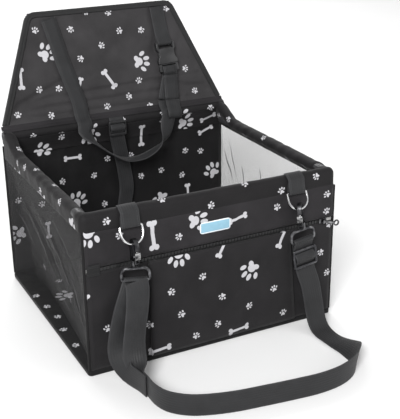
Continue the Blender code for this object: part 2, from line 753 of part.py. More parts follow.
def flap_outline(grow, start=0.0):
    """Trapezium with round top corners, grown outward all round but at its foot."""
    run = FLAP_BASE_HALF - FLAP_TOP_HALF
    edge = math.hypot(run, FLAP_LENGTH)

    def half_at(up):
        return FLAP_BASE_HALF - run * up / FLAP_LENGTH + grow * edge / FLAP_LENGTH

    centre_up = FLAP_LENGTH - FLAP_CORNER
    centre = (half_at(centre_up) - (FLAP_CORNER + grow) * edge / FLAP_LENGTH, centre_up)
    lean = math.atan2(run, FLAP_LENGTH)
    half = [(half_at(start), start), *arc(centre, FLAP_CORNER + grow, lean, math.pi / 2, 6)]
    return mirrored(half)


def flap():
    """Face, board and back of the flap, and the binding sewn round its edge."""
    layers = (
        ("flap_panel", CLOTH_FINISH, 0, FLAP_FACE, 0),
        ("flap_board", BOARD_FINISH, FLAP_FACE + FIT, FLAP_BOARD, -FLAP_BOARD_INSET),
        ("flap_back", CLOTH_FINISH, FLAP_FACE + FLAP_BOARD + 2 * FIT, FLAP_BACK, 0),
    )
    pieces = []
    for name, finish, depth, thickness, grow in layers:
        place = FLAP @ Matrix.Translation((0, 0, -depth - thickness / 2))
        pieces.append(slab(name, finish, [flap_outline(grow, -min(grow, 0))], thickness, place))
    middle = FLAP @ Matrix.Translation((0, 0, -FLAP_DEPTH / 2))
    binding = slab("flap_binding", WEBBING_FINISH, [flap_outline(FIT + BINDING, BINDING_START)],
                   FLAP_DEPTH + 2 * (FIT + BINDING), middle)
    low = BINDING_START - OVERRUN
    cut(binding, slab("inside", WEBBING_FINISH, [flap_outline(FIT, low)], FLAP_DEPTH + 2 * FIT, middle),
        slab("window", WEBBING_FINISH, [flap_outline(-BINDING_WIDTH, low)], FLAP_DEPTH + 2 * OVERRUN, middle))
    for piece in pieces + [binding]:
        hang_on(piece, FLAP_HINGE)


# Hardware

def tri_glide(name, finish, size, thickness, bar, inside, place):
    """Plate with two slots, which leave a bar at each end and one across the middle."""
    half_x, half_y = size[0] / 2, size[1] / 2
    hole_x = inside / 2
    holes = []
    for side in (-1, 1):
        low, high = sorted((side * bar / 2, side * (half_y - bar)))
        holes.append(rectangle((-hole_x, low), (hole_x, high)))
    return slab(name, finish, [rounded((-half_x, -half_y), (half_x, half_y), GLIDE_CORNER), *holes],
                thickness, place)


def d_ring(name, centre):
    """Bent wire: a straight bar for the tab, and a bow that leans out from the wall."""
    straight = D_LENGTH - D_HALF
    quarter = math.pi / 2
    path = arc((D_HALF - D_CORNER, D_CORNER), D_CORNER, -quarter, 0, 3)
    path += arc((0, straight), D_HALF, 0, 2 * quarter, 14)
    path += arc((-D_HALF + D_CORNER, D_CORNER), D_CORNER, 2 * quarter, 3 * quarter, 3)
    down = Vector((0, -math.sin(D_LEAN), -math.cos(D_LEAN)))
    ring = wire(name, STEEL, [(x, y, 0) for x, y in path], D_WIRE, frame(X, down, centre), closed=True)
    hang_on(ring, centre)
    return centre + down * D_LENGTH


def tab(name, x):
    """Webbing sewn over the front sleeve and folded round the D-ring's bar; returns the bar's centre."""
    loop = D_WIRE + FIT + WEBBING / 2
    inner = SLEEVE_OUTER + FIT + WEBBING / 2
    outer = inner + WEBBING + FIT
    bar = (inner + loop, D_BAR_HEIGHT - RIM_Z)
    path = [(inner, 0), (inner, bar[1] + loop)]
    path += arc(bar, loop, math.pi, 2 * math.pi, 8)
    path += [(bar[0] + loop, bar[1] + loop), ((bar[0] + loop + outer) / 2, bar[1] / 2)]
    path += arc((0, 0), outer, math.radians(5), math.radians(25), 3)
    path += arc((0, 0), inner, math.radians(55), math.radians(100), 5)
    stations = [(Vector((x, -RIM_Y - p, RIM_Z + q)), X) for p, q in path]
    ribbon(name, WEBBING_FINISH, stations, TAB_WIDTH, WEBBING)
    return Vector((x, -RIM_Y - bar[0], D_BAR_HEIGHT))


class Clip:
    """Trigger hook with a sprung gate and a swivelling eye for a strap."""

    def __init__(self, prefix, bow, up, back, bar, turn, ring_wire, share=1.0):
        self.prefix = prefix
        self.share = share
        self.up = Vector(up).normalized()
        skew = CLAW_THICKNESS / 2 * math.tan(abs(turn))
        bow_rise = (CLAW_THICKNESS / 2 / math.cos(turn)) ** 2 / (2 * D_HALF)
        reach = CLAW_INNER * share - ring_wire - BOW_CLEARANCE - bow_rise
        self.rise = math.sqrt(reach ** 2 - skew ** 2)
        self.bow = Vector(bow)
        self.centre = self.bow - self.up * self.rise
        self.body = frame(Vector(back) - self.up * Vector(back).dot(self.up), self.up, self.centre)
        self.eye = frame(Vector(bar) - self.up * Vector(bar).dot(self.up), self.up, self.centre)
        self.barrel_end = -(HOOK_REACH + HOOK_BASE + BARREL_LENGTH) * share
        self.top_bar = self.barrel_end - FIT - EYE_WIRE * share
        self.bar_centre = self.eye @ Vector((0, self.top_bar - EYE_HEIGHT * share, 0))
        self.bar_axis = self.eye.col[0].to_3d()
        self.eye_pivot = self.centre

    def hook(self):
        """Claw, foot and barrel, bored for the eye's stem and slotted for the gate."""
        s = self.share
        inner, outer, nose = CLAW_INNER * s, CLAW_OUTER * s, -NOSE_DROP * s
        reach, foot, bottom = -HOOK_REACH * s, HOOK_FOOT * s, -(HOOK_REACH + HOOK_BASE) * s
        outline = [
            (-outer, nose), *arc((0, 0), outer, math.pi, 0, 12), (foot, bottom), (-foot, bottom),
            (-foot, reach), (inner, reach), *arc((0, 0), inner, 0, math.pi, 10), (-inner, nose),
        ]
        claw = slab(self.prefix + "_hook", BLACK_METAL, [outline], CLAW_THICKNESS * s, self.body)
        bevel(claw, CLAW_EDGE * s)
        join(claw, rod("barrel", BLACK_METAL, (0, bottom + BARREL_LENGTH * s / 2, 0), (0, self.barrel_end, 0),
                       BARREL_RADIUS * s, self.body, 16))
        pivot_x, pivot_y, end = self.gate_sizes()
        slot = GATE_THICKNESS * s / 2 + GATE_PLAY
        slot_end = pivot_x + end + GATE_PIVOT_DROP * s * math.sin(GATE_SWING) + FIT
        cut(claw,
            rod("bore", BLACK_METAL, (0, reach + OVERRUN, 0), (0, self.barrel_end - OVERRUN, 0),
                BORE_RADIUS * s, self.body, 12),
            box("gate_slot", BLACK_METAL, (-foot - OVERRUN, pivot_y - end - FIT, -slot),
                (slot_end, reach + OVERRUN / 2, slot), self.body),
            rod("pin_hole", BLACK_METAL, (pivot_x, pivot_y, -CLAW_THICKNESS), (pivot_x, pivot_y, CLAW_THICKNESS),
                GATE_PIN * s + FIT, self.body, 10))
        hang_on(claw, self.bow)

    def gate_sizes(self):
        """Place of the gate's pivot and the radius of its round end."""
        return -GATE_PIVOT * self.share, -(HOOK_REACH + GATE_PIVOT_DROP) * self.share, GATE_END * self.share

    def gate(self):
        """Gate from its pin up to the claw's nose, with a thumb lever on its face."""
        s = self.share
        pivot_x, pivot_y, end = self.gate_sizes()
        tip = -NOSE_DROP * s - FIT
        inner_x, outer_x = -CLAW_INNER * s - end / 2, -CLAW_OUTER * s + end / 3
        lever_low, lever_high = -HOOK_REACH * s + FIT, tip - end
        outline = [
            (inner_x, tip), (outer_x, tip - end / 3), (outer_x - end / 3, lever_low),
            *arc((pivot_x, pivot_y), end, math.pi, 2 * math.pi, 6),
        ]
        gate = slab(self.prefix + "_gate", STEEL, [outline], GATE_THICKNESS * s, self.body)
        face = outer_x - end / 3
        join(gate,
             box("lever", STEEL, (face - LEVER * s, lever_low, -LEVER_WIDTH * s / 2),
                 (face + LEVER * s / 2, lever_high, LEVER_WIDTH * s / 2), self.body),
             rod("pin", STEEL, (pivot_x, pivot_y, -CLAW_THICKNESS * s / 2), (pivot_x, pivot_y, CLAW_THICKNESS * s / 2),
                 GATE_PIN * s, self.body, 10))
        hang_on(gate, self.body @ Vector((pivot_x, pivot_y, 0)))

    def ring(self, finish):
        """Eye: a wire loop with a headed stem that turns in the barrel."""
        s = self.share
        half, top, low = EYE_HALF * s, self.top_bar, self.top_bar - EYE_HEIGHT * s
        shoulder, corner = EYE_SHOULDER * s, EYE_CORNER * s
        quarter = math.pi / 2
        path = arc((half - corner, low + corner), corner, -quarter, 0, 4)
        path += arc((half - shoulder, top - shoulder), shoulder, 0, quarter, 5)
        path += arc((-half + shoulder, top - shoulder), shoulder, quarter, 2 * quarter, 5)
        path += arc((-half + corner, low + corner), corner, 2 * quarter, 3 * quarter, 4)
        eye = wire(self.prefix + "_eye", finish, [(x, y, 0) for x, y in path], EYE_WIRE * s, self.eye, closed=True)
        seat = -HOOK_REACH * s + FIT
        join(eye,
             rod("stem", finish, (0, top, 0), (0, seat + HEAD_HEIGHT * s / 2, 0), STEM_RADIUS * s, self.eye, 12),
             rod("head", finish, (0, seat, 0), (0, seat + HEAD_HEIGHT * s, 0), STEM_HEAD * s, self.eye, 12))
        hang_on(eye, self.eye_pivot)

    def build(self):
        self.hook()
        self.gate()
        self.ring(BLACK_METAL)


# Front strap, its tabs, D-rings, clips and tri-glide

# Route of the strap from the end of its sewn return, up behind the left eye's bar, down in front,
# along the ground on its edge, back at the right and up to the tri-glide, as (place, across)
STRAP_RETURN = (
    ((-0.1500, -0.2620, 0.0168), (0, 0, 1)),
    ((-0.1530, -0.2430, 0.0168), (0, 0, 1)),
    ((-0.1575, -0.2260, 0.0172), (0.10, -0.10, 1)),
    ((-0.1610, -0.2130, 0.0230), (0.40, -0.20, 0.85)),
    ((-0.1625, -0.2025, 0.0420), (0.85, -0.10, 0.50)),
    ((-0.1585, -0.1985, 0.0680), (1, 0, 0.10)),
    ((-0.1500, -0.1965, 0.0970), (1, 0, 0.25)),
    ((-0.1400, -0.1945, 0.1180), (1, -0.15, 0.35)),
)
STRAP_RUN = (
    ((-0.1305, -0.1990, 0.1300), (1, -0.30, 0)),
    ((-0.1330, -0.2020, 0.1050), (1, -0.15, -0.15)),
    ((-0.1390, -0.2070, 0.0780), (1, 0, -0.15)),
    ((-0.1445, -0.2130, 0.0560), (1, 0, 0.10)),
    ((-0.1475, -0.2210, 0.0380), (0.75, 0, 0.65)),
    ((-0.1475, -0.2320, 0.0235), (0.30, 0, 0.95)),
    ((-0.1470, -0.2450, 0.0170), (0, 0, 1)),
    ((-0.1472, -0.2640, 0.0165), (0, 0, 1)),
    ((-0.1465, -0.2840, 0.0165), (0, 0, 1)),
    ((-0.1400, -0.3040, 0.0165), (0, 0, 1)),
    ((-0.1250, -0.3210, 0.0165), (0, 0, 1)),
    ((-0.1030, -0.3340, 0.0165), (0, 0, 1)),
    ((-0.0640, -0.3460, 0.0165), (0, 0, 1)),
    ((-0.0200, -0.3530, 0.0165), (0, 0, 1)),
    ((0.0250, -0.3590, 0.0165), (0, 0, 1)),
    ((0.0600, -0.3620, 0.0165), (0, 0, 1)),
    ((0.0930, -0.3590, 0.0165), (0, 0, 1)),
    ((0.1200, -0.3490, 0.0165), (0, 0, 1)),
    ((0.1400, -0.3330, 0.0165), (0, 0, 1)),
    ((0.1520, -0.3130, 0.0155), (0.20, 0.05, 1)),
    ((0.1555, -0.2930, 0.0115), (0.65, 0.10, 0.70)),
    ((0.1550, -0.2730, 0.0050), (1, 0.05, 0.25)),
    ((0.1540, -0.2530, 0.0020), (1, 0, 0)),
    ((0.1530, -0.2340, 0.0022), (1, 0, 0)),
    ((0.1530, -0.2190, 0.0070), (1, 0, 0)),
    ((0.1535, -0.2080, 0.0200), (1, 0, 0)),
    ((0.1530, -0.2010, 0.0420), (1, 0, 0.10)),
    ((0.1490, -0.1970, 0.0700), (1, 0, 0.14)),
)
STRAP_STEP = 0.0080


def front_strap():
    """Tabs, D-rings and clips on the front rim, and the strap between the clips."""
    clips = []
    for prefix, x, lean, turn, swivel in (
        ("left", LEFT_CLIP_X, 0, 0, LEFT_EYE_TURN), ("right", RIGHT_CLIP_X, RIGHT_LEAN, RIGHT_HOOK_TURN, 0),
    ):
        bow = d_ring(prefix + "_d_ring", tab(prefix + "_tab", x))
        up = (-math.sin(lean), 0, math.cos(lean))
        back = (math.sin(turn), math.cos(turn), 0)
        bar = (math.cos(swivel), math.sin(swivel), 0)
        clip = Clip(prefix, bow, up, back, bar, turn, D_WIRE)
        clip.build()
        clips.append(clip)
    left, right = clips
    loop = EYE_WIRE + FIT + STRAP / 2
    behind = Z.cross(left.bar_axis)
    stations = smooth_run([*STRAP_RETURN, (left.bar_centre + behind * loop, left.bar_axis)], STRAP_STEP)[:-1]
    stations += round_bar(left.bar_centre, left.bar_axis, behind, Z, loop)[:-1]
    stations += smooth_run(
        [(left.bar_centre - behind * loop, left.bar_axis), *STRAP_RUN, *glide_run(right, loop)], STRAP_STEP)[:-1]
    stations += round_bar(right.bar_centre, right.bar_axis, -Y, right.up, loop)[:-1]
    stations += smooth_run(strap_end(right, loop), STRAP_STEP / 2)
    ribbon("front_strap", WEBBING_FINISH, stations, STRAP_WIDTH, STRAP)


def glide_frame(right, loop):
    """Frame of the front tri-glide, below the right eye in line with it."""
    depth = loop - STRAP / 2 - FIT - GLIDE / 2
    away = right.bar_centre - right.up * GLIDE_DROP
    return frame(right.bar_axis, right.up, away - Y * depth)


def glide_run(right, loop):
    """Strap from under the tri-glide, over its middle bar and up to the right eye."""
    place = glide_frame(right, loop)
    glide = tri_glide("tri_glide", BLACK_METAL, (GLIDE_WIDTH, GLIDE_HEIGHT), GLIDE, GLIDE_BAR,
                      STRAP_WIDTH + GLIDE_PLAY, place)
    hang_on(glide, place.translation)
    off = GLIDE / 2 + FIT + STRAP / 2
    bar = GLIDE_BAR / 2 + FIT
    end = GLIDE_HEIGHT / 2
    heights = (
        (-end - GLIDE_BAR, -off), (-end, -off), (-end + GLIDE_BAR, -off), (-bar, off), (bar, off),
        (end - GLIDE_BAR, -off), (end, -off), (end + GLIDE_BAR / 2, -off),
    )
    stations = [(place @ Vector((0, up, out)), right.bar_axis) for up, out in heights]
    return stations + [(right.bar_centre - Y * loop, right.bar_axis)]


def strap_end(right, loop):
    """Sewn end of the strap, from behind the right eye's bar to the tri-glide's middle bar."""
    place = glide_frame(right, loop)
    off = GLIDE / 2 + FIT + STRAP / 2
    layer = off + STRAP + FIT + FIT
    end = GLIDE_HEIGHT / 2
    heights = ((end + GLIDE_BAR, -layer - FIT), (end - GLIDE_BAR / 2, -layer - FIT), (GLIDE_BAR, -off - FIT),
               (0, -off), (-GLIDE_BAR / 2, -off))
    run = [(right.bar_centre + Y * loop, right.bar_axis)]
    return run + [(place @ Vector((0, up, out)), right.bar_axis) for up, out in heights]


# Leash

LEASH_RUN = (
    ((-0.0045, 0.1620, 0.2100), (1, 0, 0)),
    ((0.0030, 0.1652, 0.1740), (1, 0.10, 0)),
    ((0.0080, 0.1659, 0.1320), (1, -0.05, 0)),
    ((0.0040, 0.1659, 0.1050), (1, 0, 0)),
)
LEASH_STEP = 0.0100


def leash():
    """Leash from the back sleeve through its slider to a hook at its foot, and back to the slider."""
    clip = Clip("leash", LEASH_END, -Z, X, X, 0, D_WIRE, LEASH_HOOK_SHARE)
    lift = LEASH_END - clip.bar_centre
    clip = Clip("leash", LEASH_END + lift, -Z, X, X, 0, D_WIRE, LEASH_HOOK_SHARE)
    clip.eye_pivot = LEASH_END
    clip.build()
    size = (LEASH_SLIDER_WIDTH, LEASH_SLIDER_HEIGHT)
    touch = SLEEVE_OUTER + FIT + WEBBING / 2
    off = LEASH_SLIDER / 2 + FIT + WEBBING / 2
    centre = Vector((LEASH_SLIDER_X, RIM_Y - touch - off, BACK_RIM_Z - LEASH_SLIDER_DROP))
    place = frame(X, Z, centre)
    slider = tri_glide("leash_slider", PLASTIC, size, LEASH_SLIDER, GLIDE_BAR,
                       WEBBING_WIDTH + GLIDE_PLAY, place)
    hang_on(slider, centre)
    bar = GLIDE_BAR / 2 + FIT
    end = LEASH_SLIDER_HEIGHT / 2
    top = [(LEASH_SLIDER_X, RIM_Y + y, BACK_RIM_Z + z)
           for y, z in arc((0, 0), touch, math.radians(130), math.radians(170), 4)]
    slot = (end - GLIDE_BAR + bar) / 2
    threaded = ((end - GLIDE_BAR, -off), (slot, 0), (bar, off), (-bar, off), (-slot, 0),
                (-end + GLIDE_BAR, -off), (-end, -off))
    main = [(Vector(at), X) for at in top]
    main += [(place @ Vector((0, up, out)), X) for up, out in threaded]
    loop = EYE_WIRE * LEASH_HOOK_SHARE + FIT + WEBBING / 2
    main += [*LEASH_RUN, (clip.bar_centre - Y * loop, X)]
    gap = Y * (WEBBING + FIT)
    back = [(clip.bar_centre + Y * loop, X)]
    back += [(Vector(at) + gap, across) for at, across in reversed(LEASH_RUN)]
    back += [(place @ Vector((0, up, out)), X)
             for up, out in ((-end, -off - WEBBING - 2 * FIT), (-GLIDE_BAR * 2, -off - WEBBING), (0, -off), (bar, -off))]
    stations = smooth_run(main, LEASH_STEP)[:-1]
    stations += round_bar(clip.bar_centre, X, -Y, -Z, loop)[:-1]
    stations += smooth_run(back, LEASH_STEP)
    ribbon("leash_strap", WEBBING_FINISH, stations, WEBBING_WIDTH, WEBBING)


# Headrest strap and buckle

# Loop inside the seat, from the left of the back sleeve to its right, as (place, across)
HEADREST_LOOP = (
    ((-0.0660, 0.1560, 0.2440), (1, 0.20, 0)),
    ((-0.0600, 0.1525, 0.2350), (0.80, 0.60, 0)),
    ((-0.0510, 0.1495, 0.2250), (0.30, 0.95, 0)),
    ((-0.0280, 0.1475, 0.2040), (0, 1, 0)),
    ((-0.0010, 0.1475, 0.1880), (0, 1, 0)),
    ((0.0270, 0.1475, 0.1860), (0, 1, 0)),
    ((0.0490, 0.1475, 0.1930), (0.15, 1, 0)),
    ((0.0670, 0.1490, 0.2040), (0.50, 0.85, 0)),
    ((0.0780, 0.1520, 0.2180), (0.85, 0.50, 0)),
    ((0.0830, 0.1555, 0.2350), (1, 0.10, 0)),
)
HEADREST_STEP = 0.0080

# The same strap on the flap, as (across, up), and its tail over the back sleeve, as (across, degrees)
LEFT_STRAP_RUN = (
    (-0.0940, 0.1683), (-0.0870, 0.1322), (-0.0810, 0.0979), (-0.0730, 0.0635), (-0.0650, 0.0309), (-0.0635, 0.0069),
)
RIGHT_STRAP_RUN = ((0.0885, 0.0060), (0.0890, 0.0120), (0.0960, 0.0320))
TAIL_RUN = ((0.1040, 0.0400), (0.1020, 0.0150))
TAIL_OVER = ((0.1000, 115), (0.0995, 150), (0.0990, 185))
SLEEVE_ANGLES = (100, 125, 150, 172)


def over_sleeve(x, degrees):
    """Place of webbing that lies on the back sleeve."""
    angle = math.radians(degrees)
    radius = SLEEVE_OUTER + 2 * FIT + WEBBING / 2
    return Vector((x, RIM_Y + radius * math.cos(angle), BACK_RIM_Z + radius * math.sin(angle)))


def buckle_frame():
    """Frame of the buckle: X across, Y up the strap and Z off the flap, from the middle of the male base."""
    out = BUCKLE / 2 + FIT
    return FLAP @ Matrix.Translation((BUCKLE_X, BUCKLE_UP, out)) @ Matrix.Rotation(BUCKLE_TILT, 4, "Z")


def headrest_strap():
    """Strap down the flap's left, through the loop, up to the buckle, with its tail in front."""
    low = FIT + WEBBING / 2
    left = [(on_flap(x, up, low), X) for x, up in LEFT_STRAP_RUN]
    left += [(over_sleeve(LEFT_STRAP_RUN[-1][0], a), X) for a in SLEEVE_ANGLES]
    place = buckle_frame()
    off = BUCKLE_BASE_THICKNESS / 2 + FIT + WEBBING / 2
    across = place.col[0].to_3d()
    right = [(over_sleeve(RIGHT_STRAP_RUN[0][0], a), X) for a in reversed(SLEEVE_ANGLES)]
    right += [(on_flap(x, up, low + FIT), X) for x, up in RIGHT_STRAP_RUN]
    right += [(place @ Vector((0, -BUCKLE_BASE, -off)), across)]
    bar = BUCKLE_BAR / 2
    turn = [(-bar, -off), (bar, -off), (bar + WEBBING / 2 + FIT, -off + WEBBING / 2 + FIT),
            (bar + WEBBING / 2 + FIT, off - WEBBING / 2 - FIT), (bar, off), (-bar, off), (-BUCKLE_BASE / 2, off)]
    wrap = [(place @ Vector((0, up, out)), across) for up, out in turn]
    lifts = ((-WEBBING - FIT, FIT), (-2 * WEBBING, 0), (-2 * WEBBING, -4 * WEBBING))
    tail = [(on_flap(x, up, 3 * low), X) for x, up in TAIL_RUN]
    tail += [(over_sleeve(x, a) + Vector((0, *lift)), X) for (x, a), lift in zip(TAIL_OVER, lifts)]
    stations = smooth_run([*left, *HEADREST_LOOP, *right], HEADREST_STEP)
    stations += smooth_run([*wrap, *tail], HEADREST_STEP)
    ribbon("headrest_strap", WEBBING_FINISH, stations, WEBBING_WIDTH, WEBBING)


def short_strap():
    """Short strap from the flap's top edge round the female buckle's bar and back up behind itself."""
    place = buckle_frame()
    bar_half = (BUCKLE_BAR + BUCKLE_EDGE) / 2
    bar_up = BUCKLE_BASE / 2 + FIT + BUCKLE_LENGTH - bar_half
    loop = math.hypot(bar_half, BUCKLE_BAR / 2) + FIT + WEBBING / 2
    across = place.col[0].to_3d()
    top = FLAP_LENGTH - BINDING_WIDTH - FIT
    high = place.inverted() @ on_flap(BUCKLE_X, top, 0)
    over = WEBBING + FIT - loop
    front = [(0, high.y, over), (0, bar_up + 7 * loop, over), (0, bar_up + 5 * loop, over),
             (0, bar_up + loop, loop * math.cos(math.radians(45)))]
    curl = [(0, bar_up + loop * math.sin(a), loop * math.cos(a))
            for a in (math.radians(15), 0, math.radians(-45), math.radians(-90), math.radians(-135), math.pi)]
    rear = [(0, bar_up + 2 * loop, -loop), (0, bar_up + 4 * loop, -loop)]
    stations = smooth_run([(place @ Vector(at), across) for at in front + curl + rear], HEADREST_STEP)
    ribbon("short_strap", WEBBING_FINISH, stations, WEBBING_WIDTH, WEBBING)


def buckle():
    """Side-release buckle: socket with side windows, and a ladder base with a guide and two prongs."""
    place = buckle_frame()
    foot = BUCKLE_BASE / 2 + FIT
    length = BUCKLE_LENGTH
    half = [
        (BUCKLE_MOUTH / 2, 0), (BUCKLE_MOUTH / 2, WINDOW_START / 2), (BUCKLE_WAIST / 2, WINDOW_START),
        (BUCKLE_WAIST / 2, WINDOW_START + WINDOW_LENGTH), (BUCKLE_WIDTH / 2, SOCKET_DEPTH + BUCKLE_BAR),
        (BUCKLE_WIDTH / 2, length - BUCKLE_EDGE), (BUCKLE_WIDTH / 2 - BUCKLE_EDGE, length),
    ]
    socket = place @ Matrix.Translation((0, foot, 0))
    female = slab("buckle_female", PLASTIC, [mirrored(half)], BUCKLE, socket)
    bevel(female, BUCKLE_EDGE)
    slot_low = SOCKET_DEPTH + BUCKLE_BAR
    slot_high = length - BUCKLE_EDGE - BUCKLE_BAR
    wide, tall = SOCKET_WIDTH / 2, SOCKET_HEIGHT / 2
    cut(female,
        box("socket", PLASTIC, (-wide, -OVERRUN, -tall), (wide, SOCKET_DEPTH, tall), socket),
        box("strap_slot", PLASTIC, (-BUCKLE_SLOT / 2, slot_low, -BUCKLE), (BUCKLE_SLOT / 2, slot_high, BUCKLE), socket),
        box("bar_face", PLASTIC, (-BUCKLE_SLOT / 2 - FIT, slot_low + FIT, BUCKLE_BAR / 2),
            (BUCKLE_SLOT / 2 + FIT, length + OVERRUN, BUCKLE), socket),
        box("bar_back", PLASTIC, (-BUCKLE_SLOT / 2 - FIT, slot_low + FIT, -BUCKLE),
            (BUCKLE_SLOT / 2 + FIT, length + OVERRUN, -BUCKLE_BAR / 2), socket))
    for side in (-1, 1):
        inner, outer = sorted((side * (wide - PRONG_WIDTH / 2), side * (BUCKLE_MOUTH / 2 + OVERRUN)))
        cut(female, box("window", PLASTIC, (inner, WINDOW_START, FIT - tall),
                        (outer, WINDOW_START + WINDOW_LENGTH, tall - FIT), socket))
    male_base(place)
    male_prongs(place, socket)


def male_base(place):
    """Ladder base with the guide that keeps the prongs straight in the socket."""
    half_up, bar = BUCKLE_BASE / 2, BUCKLE_BAR / 2
    wide = BUCKLE_MOUTH / 2
    outline = mirrored([(wide - BUCKLE_EDGE, -half_up), (wide, -half_up + BUCKLE_EDGE), (BUCKLE_WIDTH / 2, half_up)])
    slot = BUCKLE_SLOT / 2
    holes = [
        rectangle((-slot, -half_up + BUCKLE_BAR * 2 / 3), (slot, -bar)),
        rectangle((-slot, bar), (slot, half_up - BUCKLE_BAR / 3 - BUCKLE_EDGE / 2)),
    ]
    male = slab("buckle_male", PLASTIC, [outline, *holes], BUCKLE_BASE_THICKNESS, place)
    join(male, box("guide", PLASTIC, (-GUIDE_WIDTH / 2, half_up - BUCKLE_BAR / 3, FIT / 2),
                   (GUIDE_WIDTH / 2, half_up + FIT + SOCKET_DEPTH - BUCKLE_BAR, FIT / 2 + GUIDE), place))
    hang_on(male, place.translation)


def male_prongs(place, socket):
    """Two sprung arms on a web, whose buttons stand in the socket's side windows."""
    half, web = SOCKET_WIDTH / 2 - FIT, PRONG_WEB
    button_low, button_high = WINDOW_START + FIT, WINDOW_START + WINDOW_LENGTH - FIT
    button_x = BUCKLE_WAIST / 2 + FIT
    right = [
        (half, FIT), (half, button_low), (button_x, button_low + PRONG_WIDTH / 2),
        (button_x, button_high - PRONG_WIDTH / 2), (half, button_high),
        (half - PRONG_WIDTH / 2, PRONG_LENGTH + web),
        (half - PRONG_WIDTH, PRONG_LENGTH), (half - PRONG_WIDTH, web),
    ]
    outline = right + [(-x, y) for x, y in reversed(right)]
    thick = SOCKET_HEIGHT / 2 - 3 * FIT
    prongs = slab("buckle_prongs", PLASTIC, [outline], thick,
                  socket @ Matrix.Translation((0, 0, -(thick + FIT) / 2)))
    hang_on(prongs, place.translation)


base()
walls()
pocket()
zip_slider()
corner_piping()
side_nets()
sleeves()
rim_frame()
flap()
front_strap()
leash()
headrest_strap()
short_strap()
buckle()
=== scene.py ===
"""Dog car seat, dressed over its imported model.

Cloth, nets, webbing and polished hardware are built here in the frame's own metres, each piece
rides on a body of the model, and the soft solids of the model are replaced.
"""

import json
import logging
import math
from collections.abc import Callable, Iterable, Sequence
from dataclasses import dataclass, field
from enum import Enum

import bmesh
import bpy
from mathutils import Matrix, Vector


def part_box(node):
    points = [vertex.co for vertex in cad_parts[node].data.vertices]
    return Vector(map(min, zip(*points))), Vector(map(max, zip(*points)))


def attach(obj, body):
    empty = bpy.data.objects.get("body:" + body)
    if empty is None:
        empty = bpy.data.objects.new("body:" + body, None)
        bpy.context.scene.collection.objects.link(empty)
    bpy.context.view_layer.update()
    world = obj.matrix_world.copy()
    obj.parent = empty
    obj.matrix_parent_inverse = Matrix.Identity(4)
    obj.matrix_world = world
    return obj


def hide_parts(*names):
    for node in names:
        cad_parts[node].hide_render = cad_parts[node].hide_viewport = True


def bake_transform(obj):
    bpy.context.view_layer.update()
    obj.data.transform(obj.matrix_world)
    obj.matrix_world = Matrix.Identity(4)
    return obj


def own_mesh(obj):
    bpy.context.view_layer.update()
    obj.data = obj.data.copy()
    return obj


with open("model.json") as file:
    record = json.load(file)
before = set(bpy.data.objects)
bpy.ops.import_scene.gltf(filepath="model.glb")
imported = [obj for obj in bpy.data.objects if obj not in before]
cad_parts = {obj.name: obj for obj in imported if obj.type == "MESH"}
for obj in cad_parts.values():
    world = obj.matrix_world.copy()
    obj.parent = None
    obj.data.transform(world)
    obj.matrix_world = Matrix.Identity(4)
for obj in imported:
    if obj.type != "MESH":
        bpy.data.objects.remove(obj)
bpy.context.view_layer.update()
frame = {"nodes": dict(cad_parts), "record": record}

LOG = logging.getLogger("dog_car_seat")
UV = "cloth"

X = Vector((1, 0, 0))
Y = Vector((0, 1, 0))
Z = Vector((0, 0, 1))

Station = tuple[Sequence[float], Sequence[float]]
Stations = list[tuple[Vector, Vector]]
Layout = Sequence[tuple[float, ...]]

# Sizes that the pieces share with the model
HALF_WIDTH = 0.200
HALF_DEPTH = 0.180
FIT = 0.0003
CLOTH = 0.0015
WALL_HALF = 0.1947
CLOTH_HALF = 0.1957
FLOOR_TOP = 0.0086
RIM_Y = 0.1702
SIDE_X = 0.1902
RIM_Z = 0.2302
BACK_RIM_Z = 0.2502
SLEEVE = 0.0098
HEM_DROP = 0.0172
HEM = 0.0050
WEBBING = 0.0014
STRAP = 0.0016
STRAP_WIDTH = 0.032
WEBBING_WIDTH = 0.025
LEAN = math.radians(18.5)
FLAP_HINGE = Vector((0, 0.1722, 0.2601))


class Motif(Enum):
    """Shapes of the print."""

    PAW = "paw"
    BONE = "bone"


SMALL = 0.0041
BIG = 0.0113

# Print layouts, as (across, up, turn in degrees, size): a paw's pad or a bone's half length, SMALL where left out
FLAP_PAWS: Layout = (
    (0.013, 0.168, 20), (-0.118, 0.151, -30), (-0.057, 0.150, 160), (0.029, 0.137, 60), (0.066, 0.137, 200),
    (-0.010, 0.116, -60), (-0.047, 0.100, 120), (0.049, 0.050, 10), (0.136, 0.062, -100), (-0.125, 0.056, 45),
    (-0.094, 0.057, -160), (0.028, 0.027, 80), (0.151, 0.020, 30), (-0.016, 0.014, -20), (0.062, 0.008, 150),
    (-0.169, 0.020, 0), (-0.112, 0.014, 100), (-0.108, 0.112, -55, BIG), (0.054, 0.083, -92, BIG),
    (-0.027, 0.176, 180), (0.120, 0.166, 30),
)
FLAP_BONES: Layout = ((-0.154, 0.078, 86, 0.0170), (-0.004, 0.060, -60, 0.0175), (-0.057, 0.056, 70, 0.0130))
INNER_PAWS: Layout = (
    (-0.139, 0.220, -62, BIG), (-0.082, 0.116, -35, BIG), (0.181, 0.126, 30, BIG), (0.077, 0.096, 160, BIG),
    (-0.047, 0.157, 30), (-0.106, 0.157, -80), (0.040, 0.144, 120), (0.077, 0.145, -20), (0.120, 0.130, 60),
    (0.125, 0.177, 200), (0.156, 0.168, 0), (-0.029, 0.103, 90), (-0.021, 0.186, 150), (0.019, 0.183, -60),
    (-0.142, 0.122, 20), (-0.184, 0.079, 100, BIG), (-0.181, 0.136, 30), (0.020, 0.050, -130, BIG), (0.110, 0.040, 80),
)
